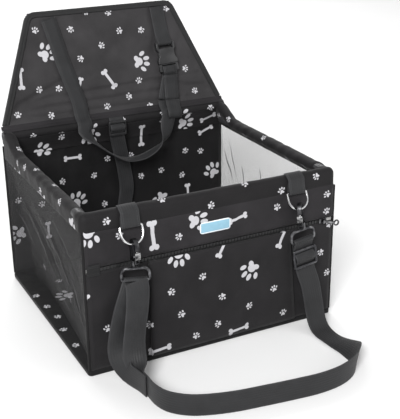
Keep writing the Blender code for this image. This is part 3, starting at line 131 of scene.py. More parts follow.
INNER_BONES: Layout = (
    (-0.084, 0.196, 0, 0.0150), (-0.135, 0.0755, 92, 0.0150), (0.129, 0.096, 92, 0.0160), (-0.060, 0.040, 50, 0.0150),
    (0.041, 0.214, 90, 0.0165), (0.166, 0.208, 20, 0.0150),
)
BACK_BAND_PAWS: Layout = (
    (-0.102, 0.018, 40), (-0.054, 0.016, 200, BIG), (-0.139, -0.004, -62, BIG), (0.120, 0.010, -90, BIG),
    (-0.182, 0.008, 45), (0.080, 0.020, 20),
)
BACK_BAND_BONES: Layout = ((0.041, 0.002, 90, 0.0165), (0.168, 0.014, 20, 0.0150))
BAND_PAWS: Layout = (
    (-0.189, 0.2135, 168, BIG), (-0.144, 0.203, 80), (-0.057, 0.184, 130), (0.098, 0.195, -30), (0.186, 0.172, 20),
    (-0.0335, 0.2015, -84, BIG), (0.186, 0.200, 60),
)
BAND_BONES: Layout = ((-0.0975, 0.193, 94, 0.0215), (0.034, 0.192, 12, 0.0150))
POCKET_PAWS: Layout = (
    (-0.061, 0.1585, 180, BIG), (0.055, 0.112, 140, BIG), (-0.024, 0.115, 30), (-0.076, 0.104, -70),
    (0.007, 0.079, 150), (0.094, 0.068, 20), (0.050, 0.052, -120), (-0.058, 0.065, 60), (0.110, 0.024, 0),
    (0.0, 0.036, 100), (-0.038, 0.024, -40), (-0.169, 0.068, 10), (0.178, 0.110, 140), (0.190, 0.150, -20),
    (0.192, 0.071, 60), (-0.105, 0.059, 90),
)
POCKET_BONES: Layout = (
    (-0.093, 0.017, 6, 0.0165), (0.034, 0.017, 6, 0.0165), (0.008, 0.1545, 62, 0.0165), (0.106, 0.1490, 64, 0.0165),
    (-0.199, 0.112, 80, 0.0150),
)
BACK_PAWS: Layout = (
    (-0.150, 0.200, 30), (-0.060, 0.210, -60, BIG), (0.030, 0.190, 100), (0.130, 0.205, 20, BIG),
    (-0.110, 0.130, 140, BIG), (-0.010, 0.120, -20), (0.080, 0.110, 70), (0.160, 0.120, -110), (-0.160, 0.060, 10),
    (-0.050, 0.050, 60, BIG), (0.040, 0.040, 200), (0.120, 0.050, -50, BIG),
)
BACK_BONES: Layout = ((-0.010, 0.215, 80, 0.0130), (0.060, 0.150, 20, 0.0130), (-0.170, 0.160, -40, 0.0130))
BASE_PAWS: Layout = (
    (-0.192, 0.075, 40), (-0.191, 0.032, -60), (-0.184, -0.006, 120), (-0.191, -0.051, 0), (-0.189, -0.102, 80),
    (0.190, 0.060, 30), (0.186, -0.030, 160), (0.191, -0.110, -30), (0.060, 0.090, 10, BIG), (-0.080, 0.070, 120, BIG),
    (-0.020, -0.060, -50, BIG), (0.110, -0.040, 70, BIG), (-0.130, -0.060, 20), (0.020, 0.020, 90), (0.140, 0.120, 0),
    (-0.148, 0.054, 63, BIG), (-0.143, 0.109, 0),
)
BASE_BONES: Layout = ((0.0, 0.120, 20, 0.0130), (-0.110, -0.120, -30, 0.0130), (0.060, -0.110, 60, 0.0130))
BACK_SLEEVE_PAWS: Layout = (
    (-0.102, 0.055, 40), (-0.054, 0.060, 200, 0.0105), (0.115, 0.060, -90, BIG), (0.005, 0.044, 60),
    (0.080, 0.042, 20), (-0.150, 0.052, 100), (0.170, 0.045, 0), (-0.175, 0.010, 70, 0.0100), (-0.040, 0.012, 0),
    (0.090, 0.014, 50),
)
BACK_SLEEVE_BONES: Layout = ((0.180, 0.060, 30, 0.0113),)
FRONT_SLEEVE_PAWS: Layout = (
    (-0.161, 0.012, 60), (0.106, 0.006, 20), (-0.010, 0.006, -80), (0.166, 0.020, 130), (-0.080, 0.028, 0),
    (0.050, 0.030, 90), (-0.050, 0.056, 30), (0.080, 0.055, -60),
)
LEFT_SLEEVE_PAWS: Layout = (
    (0.121, 0.036, 60), (0.027, 0.031, 20), (-0.096, 0.019, -80), (0.097, 0.014, 30), (-0.015, 0.008, 130),
    (-0.144, 0.004, 200, 0.0090), (0.060, 0.020, 90), (-0.050, 0.034, 10),
)
RIGHT_SLEEVE_PAWS: Layout = (
    (0.068, 0.055, 10), (0.005, 0.041, 160), (-0.117, 0.055, -40), (-0.060, 0.062, 80), (0.100, 0.020, 20),
    (0.010, 0.012, -60), (-0.090, 0.018, 60), (0.120, 0.040, 0),
)
NET_PAWS: Layout = ((0.090, 0.050, 80), (-0.060, 0.060, 20))

# Creases of the nets, as (back, up, turn in degrees, half length); the net is closer along them and lighter there, a
# painted highlight
LEFT_CREASES: Layout = (
    (0.026, 0.141, 32, 0.074), (-0.067, 0.166, 34, 0.046), (0.098, 0.112, 41, 0.090), (-0.016, 0.042, 14, 0.050),
    (0.006, 0.138, 49, 0.040), (0.140, 0.100, 55, 0.050), (-0.110, 0.090, 50, 0.050),
)
RIGHT_CREASES: Layout = (
    (0.1285, 0.1545, 41, 0.036), (0.110, 0.162, 49, 0.047), (0.023, 0.166, 70, 0.012), (0.156, 0.148, 77, 0.050),
    (0.166, 0.160, 84, 0.045), (0.072, 0.150, 60, 0.020),
)


# Node helpers

Socket = bpy.types.NodeSocket
Inputs = dict[str | int, object]


class Graph:
    """Short way to add nodes and links to one node tree."""

    def __init__(self, tree: bpy.types.NodeTree) -> None:
        """Keep the tree that nodes are added to."""
        self.tree = tree

    def put(self, target: bpy.types.Node, inputs: Inputs) -> None:
        """Set or link a node's inputs.

        Args:
            target: The node.
            inputs: Value or output socket for each named or numbered input.
        """
        for key, value in inputs.items():
            if isinstance(value, Socket):
                self.tree.links.new(value, target.inputs[key])
            else:
                target.inputs[key].default_value = value

    def node(self, kind: str, inputs: Inputs | None = None, **settings: object) -> bpy.types.Node:
        """Add a node.

        Args:
            kind: Node type without the ShaderNode prefix.
            inputs: Value or output socket for each named or numbered input.
            settings: Node properties.

        Returns:
            The new node.
        """
        made = self.tree.nodes.new("ShaderNode" + kind)
        for name, value in settings.items():
            setattr(made, name, value)
        self.put(made, inputs or {})
        return made

    def math(self, operation: str, *values: object, clamp: bool = False) -> Socket:
        """Result of a Math node with its inputs in order."""
        return self.node("Math", dict(enumerate(values)), operation=operation, use_clamp=clamp).outputs[0]

    def times(self, first: object, second: object) -> Socket:
        """Product of two values."""
        return self.math("MULTIPLY", first, second)

    def plus(self, first: object, second: object) -> Socket:
        """Sum of two values."""
        return self.math("ADD", first, second)

    def beside(self, value: object, middle: float = 0.0) -> Socket:
        """How far a value is from a middle one."""
        return self.math("ABSOLUTE", self.math("SUBTRACT", value, middle) if middle else value)

    def wave(self, place: object, length: float) -> Socket:
        """Sine of a place, with one wave in each length."""
        return self.math("SINE", self.times(place, 2 * math.pi / length))

    def vector(self, operation: str, *values: object) -> Socket:
        """Result of a Vector Math node with its inputs in order."""
        return self.node("VectorMath", dict(enumerate(values)), operation=operation).outputs[0]

    def length(self, vector: object) -> Socket:
        """Length of a vector."""
        return self.node("VectorMath", {0: vector}, operation="LENGTH").outputs["Value"]

    def parts(self, vector: object) -> tuple[Socket, ...]:
        """Three parts of a vector."""
        return tuple(self.node("SeparateXYZ", {0: vector}).outputs)

    def cloth(self) -> Socket:
        """Place on the piece's own cloth map, in metres."""
        return self.node("UVMap", uv_map=UV).outputs[0]

    def solid(self) -> Socket:
        """Place in the piece, in metres."""
        return self.node("TexCoord").outputs["Object"]

    def mix(self, factor: object, low: object, high: object) -> Socket:
        """Blend of two colours, by the share of the second."""
        return self.node("Mix", {0: factor, 6: low, 7: high}, data_type="RGBA").outputs[2]

    def shaded(self, colour: object, shade: object) -> Socket:
        """Colour times a shade."""
        return self.node("VectorMath", {0: colour, 3: shade}, operation="SCALE").outputs[0]

    def noise(self, vector: object, scale: float, detail: float = 3.0) -> Socket:
        """Noise factor of a pattern vector, scale in features a metre."""
        return self.node("TexNoise", {"Vector": vector, "Scale": scale, "Detail": detail}).outputs["Fac"]

    def ramp(self, value: object, low: float, high: float, to: tuple[float, float] = (0.0, 1.0)) -> Socket:
        """Clamped straight-line map of a value.

        Args:
            value: Input value.
            low: Where the map starts.
            high: Where the map ends.
            to: Results at its start and end.

        Returns:
            The mapped value socket.
        """
        return self.node("MapRange", {0: value, 1: low, 2: high, 3: to[0], 4: to[1]}).outputs[0]

    def bump(self, strength: float, distance: float, height: object, under: Socket | None = None) -> Socket:
        """Normal with bumps, over another normal where one is given.

        Args:
            strength: Share of the bumps that shows.
            distance: Height of the bumps in metres.
            height: Their pattern.
            under: Normal that they lie on.

        Returns:
            The normal socket.
        """
        inputs: Inputs = {"Strength": strength, "Distance": distance, "Height": height}
        if under is not None:
            inputs["Normal"] = under
        return self.node("Bump", inputs).outputs[0]


def rgb(colour: Sequence[float]) -> tuple[float, ...]:
    """Colour with its alpha."""
    return (*colour, 1.0)


def ellipse(graph: Graph, vector: object, centre: tuple[float, float], radii: tuple[float, float],
            turn: float = 0.0) -> Socket:
    """Distance inside a turned ellipse, 1 on its rim.

    Args:
        graph: Graph to add to.
        vector: Pattern vector.
        centre: Centre of the ellipse.
        radii: Its two radii.
        turn: Its turn in degrees.

    Returns:
        The distance socket.
    """
    inputs = {"Vector": vector, "Location": (*centre, 0), "Rotation": (0, 0, math.radians(turn)),
              "Scale": (*radii, 1)}
    return graph.length(graph.node("Mapping", inputs, vector_type="TEXTURE").outputs[0])


# Form of a paw, as ellipses (centre, radii, turn in degrees), and of a bone, as its knob and its shaft's half sizes
PAW = (((0.0, 0.02), (0.60, 0.56), 0.0), ((0.46, -0.40), (0.44, 0.36), -25.0), ((0.42, 1.22), (0.31, 0.50), -8.0),
       ((1.16, 0.58), (0.30, 0.48), -34.0))
BONE_KNOB = ((0.84, 0.165), (0.20, 0.19))
BONE_SHAFT = (0.82, 0.135)


def motif_group(kind: Motif) -> bpy.types.NodeTree:
    """Node group that adds one motif to a mask, drawn about the origin at size 1.

    Args:
        kind: Which motif.

    Returns:
        The group.
    """
    name = "print_" + kind.value
    found = bpy.data.node_groups.get(name)
    if found:
        return found
    tree = bpy.data.node_groups.new(name, "ShaderNodeTree")
    for label, form in (("Vector", "Vector"), ("Mask", "Float"), ("Place", "Vector"), ("Turn", "Vector"),
                        ("Size", "Vector")):
        tree.interface.new_socket(label, in_out="INPUT", socket_type="NodeSocket" + form)
    for label, form in (("Mask", "Float"), ("Vector", "Vector")):
        tree.interface.new_socket(label, in_out="OUTPUT", socket_type="NodeSocket" + form)
    graph = Graph(tree)
    entry = tree.nodes.new("NodeGroupInput").outputs
    local = graph.node("Mapping", {"Vector": entry["Vector"], "Location": entry["Place"], "Rotation": entry["Turn"],
                                   "Scale": entry["Size"]}, vector_type="TEXTURE").outputs[0]
    across, up, _ = graph.parts(local)
    beside = graph.beside(across)
    if kind is Motif.PAW:
        half = graph.node("CombineXYZ", {0: beside, 1: up}).outputs[0]
        nearest = ellipse(graph, half, *PAW[0])
        for spot in PAW[1:]:
            nearest = graph.math("MINIMUM", nearest, ellipse(graph, half, *spot))
    else:
        above = graph.beside(up)
        half = graph.node("CombineXYZ", {0: beside, 1: above}).outputs[0]
        shaft = graph.math("MAXIMUM", graph.math("DIVIDE", beside, BONE_SHAFT[0]),
                           graph.math("DIVIDE", above, BONE_SHAFT[1]))
        nearest = graph.math("MINIMUM", ellipse(graph, half, *BONE_KNOB), shaft)
    mask = graph.math("MAXIMUM", graph.ramp(nearest, 0.94, 1.04, (1.0, 0.0)), entry["Mask"])
    # The vector depends on the mask by a hair, so that the motifs are worked out one after another
    onward = graph.vector("MULTIPLY_ADD", mask, (1e-8, 1e-8, 0), entry["Vector"])
    graph.put(tree.nodes.new("NodeGroupOutput"), {"Mask": mask, "Vector": onward})
    return tree


def print_mask(graph: Graph, vector: object, paws: Layout, bones: Layout) -> object:
    """Mask of a whole print.

    Args:
        graph: Graph to add to.
        vector: Pattern vector in metres.
        paws: Layout of the paws.
        bones: Layout of the bones.

    Returns:
        The mask socket, or 0 where there is no print.
    """
    mask: object = 0.0
    for kind, layout in ((Motif.PAW, paws), (Motif.BONE, bones)):
        for across, up, turn, *size in layout:
            inputs = {"Vector": vector, "Mask": mask, "Place": (across, up, 0), "Turn": (0, 0, math.radians(turn)),
                      "Size": (size or [SMALL]) * 3}
            group = graph.node("Group", inputs, node_tree=motif_group(kind))
            mask, vector = group.outputs["Mask"], group.outputs["Vector"]
    return mask


# Finishes

@dataclass(frozen=True)
class Finish:
    """A finish, which builds its own procedural material."""

    def make(self, name: str) -> bpy.types.Material:
        """Build the material.

        Args:
            name: Material name.

        Returns:
            The material.
        """
        material = bpy.data.materials.new(name)
        material.use_nodes = True
        graph = Graph(material.node_tree)
        graph.put(material.node_tree.nodes["Principled BSDF"], self.inputs(graph))
        return material

    def inputs(self, graph: Graph) -> Inputs:
        """Values and sockets for the shader's inputs.

        Args:
            graph: Graph of the material.

        Returns:
            Values and sockets for the shader's inputs.
        """
        raise NotImplementedError


@dataclass(frozen=True)
class ClothFinish(Finish):
    """Coated plain-weave cloth, with an optional print, on the piece's own UV map in metres."""

    colour: tuple[float, float, float] = (0.0098, 0.0092, 0.0099)
    ink: tuple[float, float, float] = (0.47, 0.465, 0.485)
    roughness: float = 0.68
    thread: float = 0.00085
    paws: Layout = ()
    bones: Layout = ()
    fold_depth: float = 0.0035

    def inputs(self, graph: Graph) -> Inputs:
        """Weave, wear, print and small folds.

        Args:
            graph: Graph of the material.

        Returns:
            Values and sockets for the shader's inputs.
        """
        cloth, solid = graph.cloth(), graph.solid()
        across, up, _ = graph.parts(cloth)
        weave = graph.times(graph.wave(across, self.thread), graph.wave(up, self.thread))
        worn, fine = graph.noise(solid, 22.0, 5.0), graph.noise(solid, 900.0, 2.0)
        shade = graph.plus(graph.ramp(worn, 0.25, 0.75, (0.72, 1.35)), graph.times(weave, 0.14))
        mask = print_mask(graph, cloth, self.paws, self.bones)
        faded = graph.times(mask, graph.ramp(fine, 0.20, 0.50, (0.86, 1.0)))
        small = graph.bump(0.30, 0.00025, graph.plus(graph.times(weave, 0.5), graph.times(fine, 0.9)))
        return {"Base Color": graph.mix(faded, graph.shaded(self.colour, shade), rgb(self.ink)),
                "Roughness": graph.ramp(worn, 0.2, 0.8, (self.roughness - 0.10, self.roughness + 0.08)),
                "Normal": graph.bump(0.45, self.fold_depth, graph.noise(solid, 34.0, 2.0), small),
                "Sheen Weight": 0.06, "Sheen Roughness": 0.45, "Specular IOR Level": 0.16}


@dataclass(frozen=True)
class WebbingFinish(Finish):
    """Ribbed webbing, with u across the strap and v along it."""

    colour: tuple[float, float, float] = (0.0180, 0.0182, 0.0194)
    rib: float = 0.0011
    line: float = 0.0036
    roughness: float = 0.58
    width: float = WEBBING_WIDTH
    stitch: bool = False

    def inputs(self, graph: Graph) -> Inputs:
        """Ribs, wear, a painted highlight along the edges and, where asked, a row of stitches along each edge.

        Args:
            graph: Graph of the material.

        Returns:
            Values and sockets for the shader's inputs.
        """
        across, along, _ = graph.parts(graph.cloth())
        ribs = graph.wave(along, self.rib)
        twill = graph.times(ribs, graph.wave(across, self.line))
        worn = graph.noise(graph.solid(), 60.0, 4.0)
        shade = graph.plus(graph.ramp(worn, 0.25, 0.75, (0.80, 1.20)), graph.times(twill, 0.16))
        beside, half = graph.beside(across), self.width / 2
        # Painted highlight: the colour grows lighter towards each edge of the webbing.
        shade = graph.times(shade, graph.ramp(beside, half - 0.0022, half - 0.0012, (1.0, 1.45)))
        if self.stitch:
            near = graph.beside(beside, half - 0.0035)
            dash = graph.math("GREATER_THAN", graph.wave(along, 0.0034), -0.4)
            thread = graph.times(graph.ramp(near, 0.0003, 0.0006, (1.0, 0.0)), dash)
            shade = graph.times(shade, graph.ramp(thread, 0.0, 1.0, (1.0, 1.9)))
            ribs = graph.plus(ribs, graph.times(thread, 3.0))
        height = graph.plus(graph.times(twill, 0.6), graph.times(ribs, 0.4))
        return {"Base Color": graph.shaded(self.colour, shade),
                "Roughness": graph.ramp(worn, 0.2, 0.8, (self.roughness - 0.08, self.roughness + 0.08)),
                "Normal": graph.bump(0.45, 0.0004, height),
                "Sheen Weight": 0.06, "Sheen Roughness": 0.40, "Specular IOR Level": 0.28}


@dataclass(frozen=True)
class NetFinish(Finish):
    """Open net: threads round staggered holes, creased, with a painted highlight on the creases, and printed here and
    there.
    """

    colour: tuple[float, float, float] = (0.0125, 0.0120, 0.0130)
    ink: tuple[float, float, float] = (0.40, 0.39, 0.41)
    pitch: float = 0.0017
    hole: float = 0.43
    crease_half: float = 0.0014
    creases: Layout = ()
    paws: Layout = ()

    def inputs(self, graph: Graph) -> Inputs:
        """Holes, closer creases with a painted highlight along them, wear and print.

        Args:
            graph: Graph of the material.

        Returns:
            Values and sockets for the shader's inputs.
        """
        cloth = graph.cloth()
        turned = graph.node("Mapping", {"Vector": cloth, "Rotation": (0, 0, math.radians(45)),
                                        "Scale": (1 / self.pitch, 1 / self.pitch, 1)}).outputs[0]
        centred = graph.vector("SUBTRACT", graph.vector("FRACTION", turned), (0.5, 0.5, 0.0))
        distance = graph.length(graph.vector("MULTIPLY", centred, (1, 1, 0)))
        crease_and_highlight: object = 0.0
        for across, up, turn, half in self.creases:
            away = ellipse(graph, cloth, (across, up), (half, self.crease_half), turn)
            crease_and_highlight = graph.math("MAXIMUM", crease_and_highlight, graph.ramp(away, 0.4, 1.2, (1.0, 0.0)))
        threads = graph.ramp(distance, self.hole - 0.04, self.hole + 0.04)
        worn = graph.ramp(graph.noise(graph.solid(), 40.0, 3.0), 0.25, 0.75, (0.75, 1.30))
        # Painted highlight: the net's colour is lighter along the creases, as if light caught the folds.
        shade = graph.times(worn, graph.ramp(crease_and_highlight, 0.0, 1.0, (1.0, 2.6)))
        mask = print_mask(graph, cloth, self.paws, ())
        return {"Base Color": graph.mix(mask, graph.shaded(self.colour, shade), rgb(self.ink)),
                "Alpha": graph.math("MAXIMUM", threads, graph.times(crease_and_highlight, 0.9)), "Roughness": 0.62,
                "Sheen Weight": 0.05, "Normal": graph.bump(0.5, 0.0005, distance)}


@dataclass(frozen=True)
class MetalFinish(Finish):
    """Cast or bent metal, worn lighter on its edges."""

    colour: tuple[float, float, float]
    worn: tuple[float, float, float]
    roughness: float
    grain: float
    metallic: float = 1.0

    def inputs(self, graph: Graph) -> Inputs:
        """Rubbed edges, uneven gloss and a fine grain.

        Args:
            graph: Graph of the material.

        Returns:
            Values and sockets for the shader's inputs.
        """
        solid = graph.solid()
        cloud, fine = graph.noise(solid, 160.0, 4.0), graph.noise(solid, 2600.0, 2.0)
        edge = graph.ramp(graph.node("NewGeometry").outputs["Pointiness"], 0.52, 0.60)
        rub = graph.math("MULTIPLY", edge, graph.ramp(cloud, 0.35, 0.65), clamp=True)
        rough = graph.ramp(cloud, 0.2, 0.8, (self.roughness - 0.05, self.roughness + 0.09))
        return {"Base Color": graph.mix(rub, rgb(self.colour), rgb(self.worn)),
                "Roughness": graph.plus(rough, graph.times(fine, 0.06)),
                "Normal": graph.bump(self.grain, 0.0002, fine), "Metallic": self.metallic}


@dataclass(frozen=True)
class MouldedFinish(Finish):
    """Moulded or pressed stock: plastic, board or tube."""

    colour: tuple[float, float, float] = (0.016, 0.016, 0.017)
    roughness: float = 0.36
    grain: float = 0.20
    scale: float = 1500.0

    def inputs(self, graph: Graph) -> Inputs:
        """Uneven tone and gloss, and a grain.

        Args:
            graph: Graph of the material.

        Returns:
            Values and sockets for the shader's inputs.
        """
        solid = graph.solid()
        cloud = graph.noise(solid, 90.0, 4.0)
        return {"Base Color": graph.shaded(self.colour, graph.ramp(cloud, 0.25, 0.75, (0.85, 1.15))),
                "Roughness": graph.ramp(cloud, 0.2, 0.8, (self.roughness - 0.06, self.roughness + 0.08)),
                "Normal": graph.bump(self.grain, 0.0002, graph.noise(solid, self.scale, 2.0))}


@dataclass(frozen=True)
class LabelFinish(Finish):
    """Smooth woven label: a pale blue field in a white border, both bare."""

    centre: tuple[float, float]
    half: tuple[float, float]
    border: float = 0.0016
    blur: float = 0.0002
    thread: float = 0.0006
    field_colour: tuple[float, float, float] = (0.23, 0.42, 0.53)
    edge_colour: tuple[float, float, float] = (0.74, 0.77, 0.80)

    def inputs(self, graph: Graph) -> Inputs:
        """Field, border and fine threads.

        Args:
            graph: Graph of the material.

        Returns:
            Values and sockets for the shader's inputs.
        """
        solid = graph.solid()
        across, _, up = graph.parts(solid)
        sides = [graph.math("SUBTRACT", graph.beside(place, middle), half - self.border)
                 for place, middle, half in zip((across, up), self.centre, self.half)]
        edge = graph.ramp(graph.math("MAXIMUM", *sides), -self.blur, self.blur)
        colour = graph.mix(edge, rgb(self.field_colour), rgb(self.edge_colour))
        cloud = graph.ramp(graph.noise(solid, 120.0, 3.0), 0.3, 0.7, (0.94, 1.05))
        return {"Base Color": graph.shaded(colour, cloud), "Roughness": 0.42,
                "Normal": graph.bump(0.25, 0.0002, graph.wave(up, self.thread))}


@dataclass(frozen=True)
class FloorFinish(Finish):
    """Pale floor, all but even."""

    def inputs(self, graph: Graph) -> Inputs:
        """Faint clouds.

        Args:
            graph: Graph of the material.

        Returns:
            Values and sockets for the shader's inputs.
        """
        cloud = graph.noise(graph.solid(), 3.0, 2.0)
        return {"Base Color": graph.mix(cloud, rgb((0.80, 0.80, 0.80)), rgb((0.83, 0.83, 0.83))), "Roughness": 0.85}


# Lit and shaded copies of one printed cloth. Painted light: LIT_CLOTH is the flap's copy, made lighter because the flap
# leans back into the light.
LIT_CLOTH = (0.0310, 0.0296, 0.0310)
# Painted light: a lighter copy of the same cloth for the front band and the hinge strips, which face the light.
PAINTED_LIGHT_CLOTH = (0.0175, 0.0162, 0.0178)
# Painted shade: the pocket's copy of the cloth, darker than the front band's for the shade low on the front wall.
PAINTED_SHADE_POCKET_CLOTH = (0.0125, 0.0117, 0.0127)
# Painted shade: the corner pipings' copy of the cloth, darkened to stand for the shade along the corners.
PAINTED_SHADE_PIPING_CLOTH = (0.0080, 0.0076, 0.0080)
# Painted shade: the darkest copy of the cloth, for the back wall's inside and the base, where the front wall shades
# them.
PAINTED_SHADE_INNER_CLOTH = (0.0066, 0.0064, 0.0068)
BLACK_METAL = MetalFinish((0.018, 0.018, 0.020), (0.30, 0.30, 0.31), 0.30, 0.14, 0.85)
BRIGHT_STEEL = MetalFinish((0.66, 0.66, 0.67), (0.85, 0.85, 0.85), 0.16, 0.06)
EYE_METAL = MetalFinish((0.045, 0.045, 0.049), (0.30, 0.30, 0.31), 0.26, 0.12, 0.9)
GATE_METAL = MetalFinish((0.05, 0.05, 0.053), (0.70, 0.70, 0.70), 0.20, 0.08)
PLASTIC = MouldedFinish()
TEETH = MouldedFinish((0.007, 0.007, 0.0075), 0.45)
BOARD = MouldedFinish((0.42, 0.42, 0.41), 0.62, 0.30, 700.0)
TUBE = MouldedFinish((0.030, 0.030, 0.032), 0.42, 0.15, 900.0)
TAPE = WebbingFinish((0.0085, 0.0085, 0.009), rib=0.0008, line=0.0012, width=0.4)
BINDING = WebbingFinish((0.0125, 0.0125, 0.013), rib=0.0009, line=0.0014, width=0.0150)
END_TAB = WebbingFinish((0.0075, 0.0075, 0.008), width=0.016, stitch=True)
STRAPPING = WebbingFinish(width=STRAP_WIDTH)
SMALL_STRAPPING = WebbingFinish()


# Mesh helpers

BAR_STEPS = 10
RIBBON_CELLS = 4
HARD_ANGLE = math.radians(30)
CLOTH_SETTINGS = {
    "quality": 6, "mass": 0.25, "tension_stiffness": 20, "compression_stiffness": 20, "shear_stiffness": 8,
    "bending_stiffness": 0.4, "air_damping": 4, "vertex_group_mass": "pins",
}


def smooth_run(points: Sequence[Station], step: float) -> Stations:
    """Stations of (place, across) on a smooth curve through given ones.

    Args:
        points: Given stations.
        step: Length of a step.

    Returns:
        The stations.
    """
    padded = [points[0]] + list(points) + [points[-1]]
    stations: Stations = []
    for before, start, end, after in zip(padded, padded[1:], padded[2:], padded[3:]):
        pieces = max(1, round((Vector(end[0]) - Vector(start[0])).length / step))
        for i in range(pieces):
            stations.append(tuple(spline_at(before[k], start[k], end[k], after[k], i / pieces) for k in (0, 1)))
    stations.append((Vector(points[-1][0]), Vector(points[-1][1])))
    return stations


def spline_at(before: Sequence[float], start: Sequence[float], end: Sequence[float], after: Sequence[float],
              t: float) -> Vector:
    """Point of a Catmull-Rom curve between start and end.

    Args:
        before: Point before the start.
        start: Where the stretch starts.
        end: Where it ends.
        after: Point after the end.
        t: Share of the stretch.

    Returns:
        The point.
    """
    before, start, end, after = Vector(before), Vector(start), Vector(end), Vector(after)
    flat = 2 * start + (end - before) * t
    bend = (2 * before - 5 * start + 4 * end - after) * t ** 2
    twist = (3 * start - before - 3 * end + after) * t ** 3
    return (flat + bend + twist) / 2


def round_bar(centre: Vector, across: Vector, start_side: Vector, up: Vector, radius: float) -> Stations:
    """Stations half the way round a bar, from its start side over the way called up.

    Args:
        centre: Middle of the bar.
        across: Way of the bar.
        start_side: Side where they start.
        up: Way that they pass over.
        radius: Distance from the bar's middle.

    Returns:
        The stations.
    """
    side, up = Vector(start_side).normalized(), Vector(up).normalized()
    angles = [math.pi * i / BAR_STEPS for i in range(BAR_STEPS + 1)]
    return [(centre + radius * (side * math.cos(a) + up * math.sin(a)), Vector(across)) for a in angles]


def placed(place: Matrix, spots: Iterable[tuple[float, float]], across: Vector) -> Stations:
    """Stations at spots, each (up, out), of a placed frame."""
    return [(place @ Vector((0, up, out)), across) for up, out in spots]


def run_length(places: Sequence[Vector]) -> float:
    """Length of a row of points."""
    return sum((b - a).length for a, b in zip(places, places[1:]))


def frame_of(x_axis: Vector, y_axis: Vector, origin: Vector) -> Matrix:
    """Matrix whose first two axes are given, the second squared up to the first.

    Args:
        x_axis: First axis.
        y_axis: Second axis, near enough.
        origin: Its origin.

    Returns:
        The matrix.
    """
    first = Vector(x_axis).normalized()
    second = (Vector(y_axis) - first * Vector(y_axis).dot(first)).normalized()
    matrix = Matrix((first, second, first.cross(second))).transposed().to_4x4()
    matrix.translation = origin
    return matrix


FLAP = frame_of(X, Vector((0, math.sin(LEAN), math.cos(LEAN))), FLAP_HINGE)


def on_flap(x: float, up: float, out: float) -> Vector:
    """Point on the flap: across, up from its hinge and out from its face."""
    return FLAP @ Vector((x, up, out))


def add_piece(name: str, shape: bmesh.types.BMesh, finish: Finish, body: str, replaced: Sequence[str] = (),
              recalc: bool = True) -> bpy.types.Object:
    """Turn a bmesh into a piece of the object.

    Args:
        name: Piece name.
        shape: Its mesh, in the frame's metres; it is freed.
        finish: Its finish.
        body: Body that it rides on, or nothing for one that is blended.
        replaced: Model nodes that it stands for.
        recalc: Whether its normals are recalculated.

    Returns:
        The new object.
    """
    if recalc:
        bmesh.ops.recalc_face_normals(shape, faces=shape.faces)
    mesh = bpy.data.meshes.new(name)
    shape.to_mesh(mesh)
    shape.free()
    mesh.shade_smooth()
    mesh.materials.append(finish.make(name + "_finish"))
    piece = bpy.data.objects.new(name, mesh)
    bpy.context.scene.collection.objects.link(piece)
    if body:
        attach(piece, body)
    if replaced:
        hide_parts(*replaced)
    LOG.info("%s: %d faces on %s", name, len(mesh.polygons), body)
    return piece


def thicken(piece: bpy.types.Object, thickness: float, offset: float = 0.0, round_edge: float = 0.0) -> None:
    """Give an open sheet its thickness.

    Args:
        piece: The sheet.
        thickness: Its thickness.
        offset: -1 puts the thickness behind the faces, 1 in front.
        round_edge: Radius of its rounded edges, where it has them.
    """
    wall = piece.modifiers.new("wall", "SOLIDIFY")
    wall.thickness = thickness
    wall.offset = offset
    wall.use_even_offset = True
    if round_edge:
        edges = piece.modifiers.new("edges", "BEVEL")
        edges.width = round_edge
        edges.segments = 2
        edges.limit_method = "ANGLE"
        edges.angle_limit = math.radians(50)


def soften(piece: bpy.types.Object, levels: int = 1) -> None:
    """Smooth a piece with a subdivision surface.

    Args:
        piece: The piece.
        levels: Levels of the subdivision.
    """
    soft = piece.modifiers.new("soft", "SUBSURF")
    soft.levels = levels
    soft.render_levels = levels


def sharp_from_angle(piece: bpy.types.Object, degrees: float = 35.0) -> None:
    """Mark a piece's edges sharp past an angle."""
    piece.data.set_sharp_from_angle(angle=math.radians(degrees))


def lay_uv(shape: bmesh.types.BMesh, place: Callable[[Vector], tuple[float, float]]) -> None:
    """Write the cloth map from a rule for each point.

    Args:
        shape: The mesh.
        place: Rule from a point to its place on the cloth, in metres.
    """
    layer = shape.loops.layers.uv.get(UV) or shape.loops.layers.uv.new(UV)
    for face in shape.faces:
        for loop in face.loops:
            loop[layer].uv = place(loop.vert.co)


def sheet_grid(width: float, height: float, across: int, up: int) -> bmesh.types.BMesh:
    """Flat grid from (0, 0) to (width, height), with its cloth map in metres.

    Args:
        width: Size along X.
        height: Size along Y.
        across: Cells along X.
        up: Cells along Y.

    Returns:
        The grid.
    """
    shape = bmesh.new()
    fit = Matrix.Translation((width / 2, height / 2, 0)) @ Matrix.Diagonal((width / 2, height / 2, 1, 1))
    bmesh.ops.create_grid(shape, x_segments=across, y_segments=up, size=1, matrix=fit)
    return shape


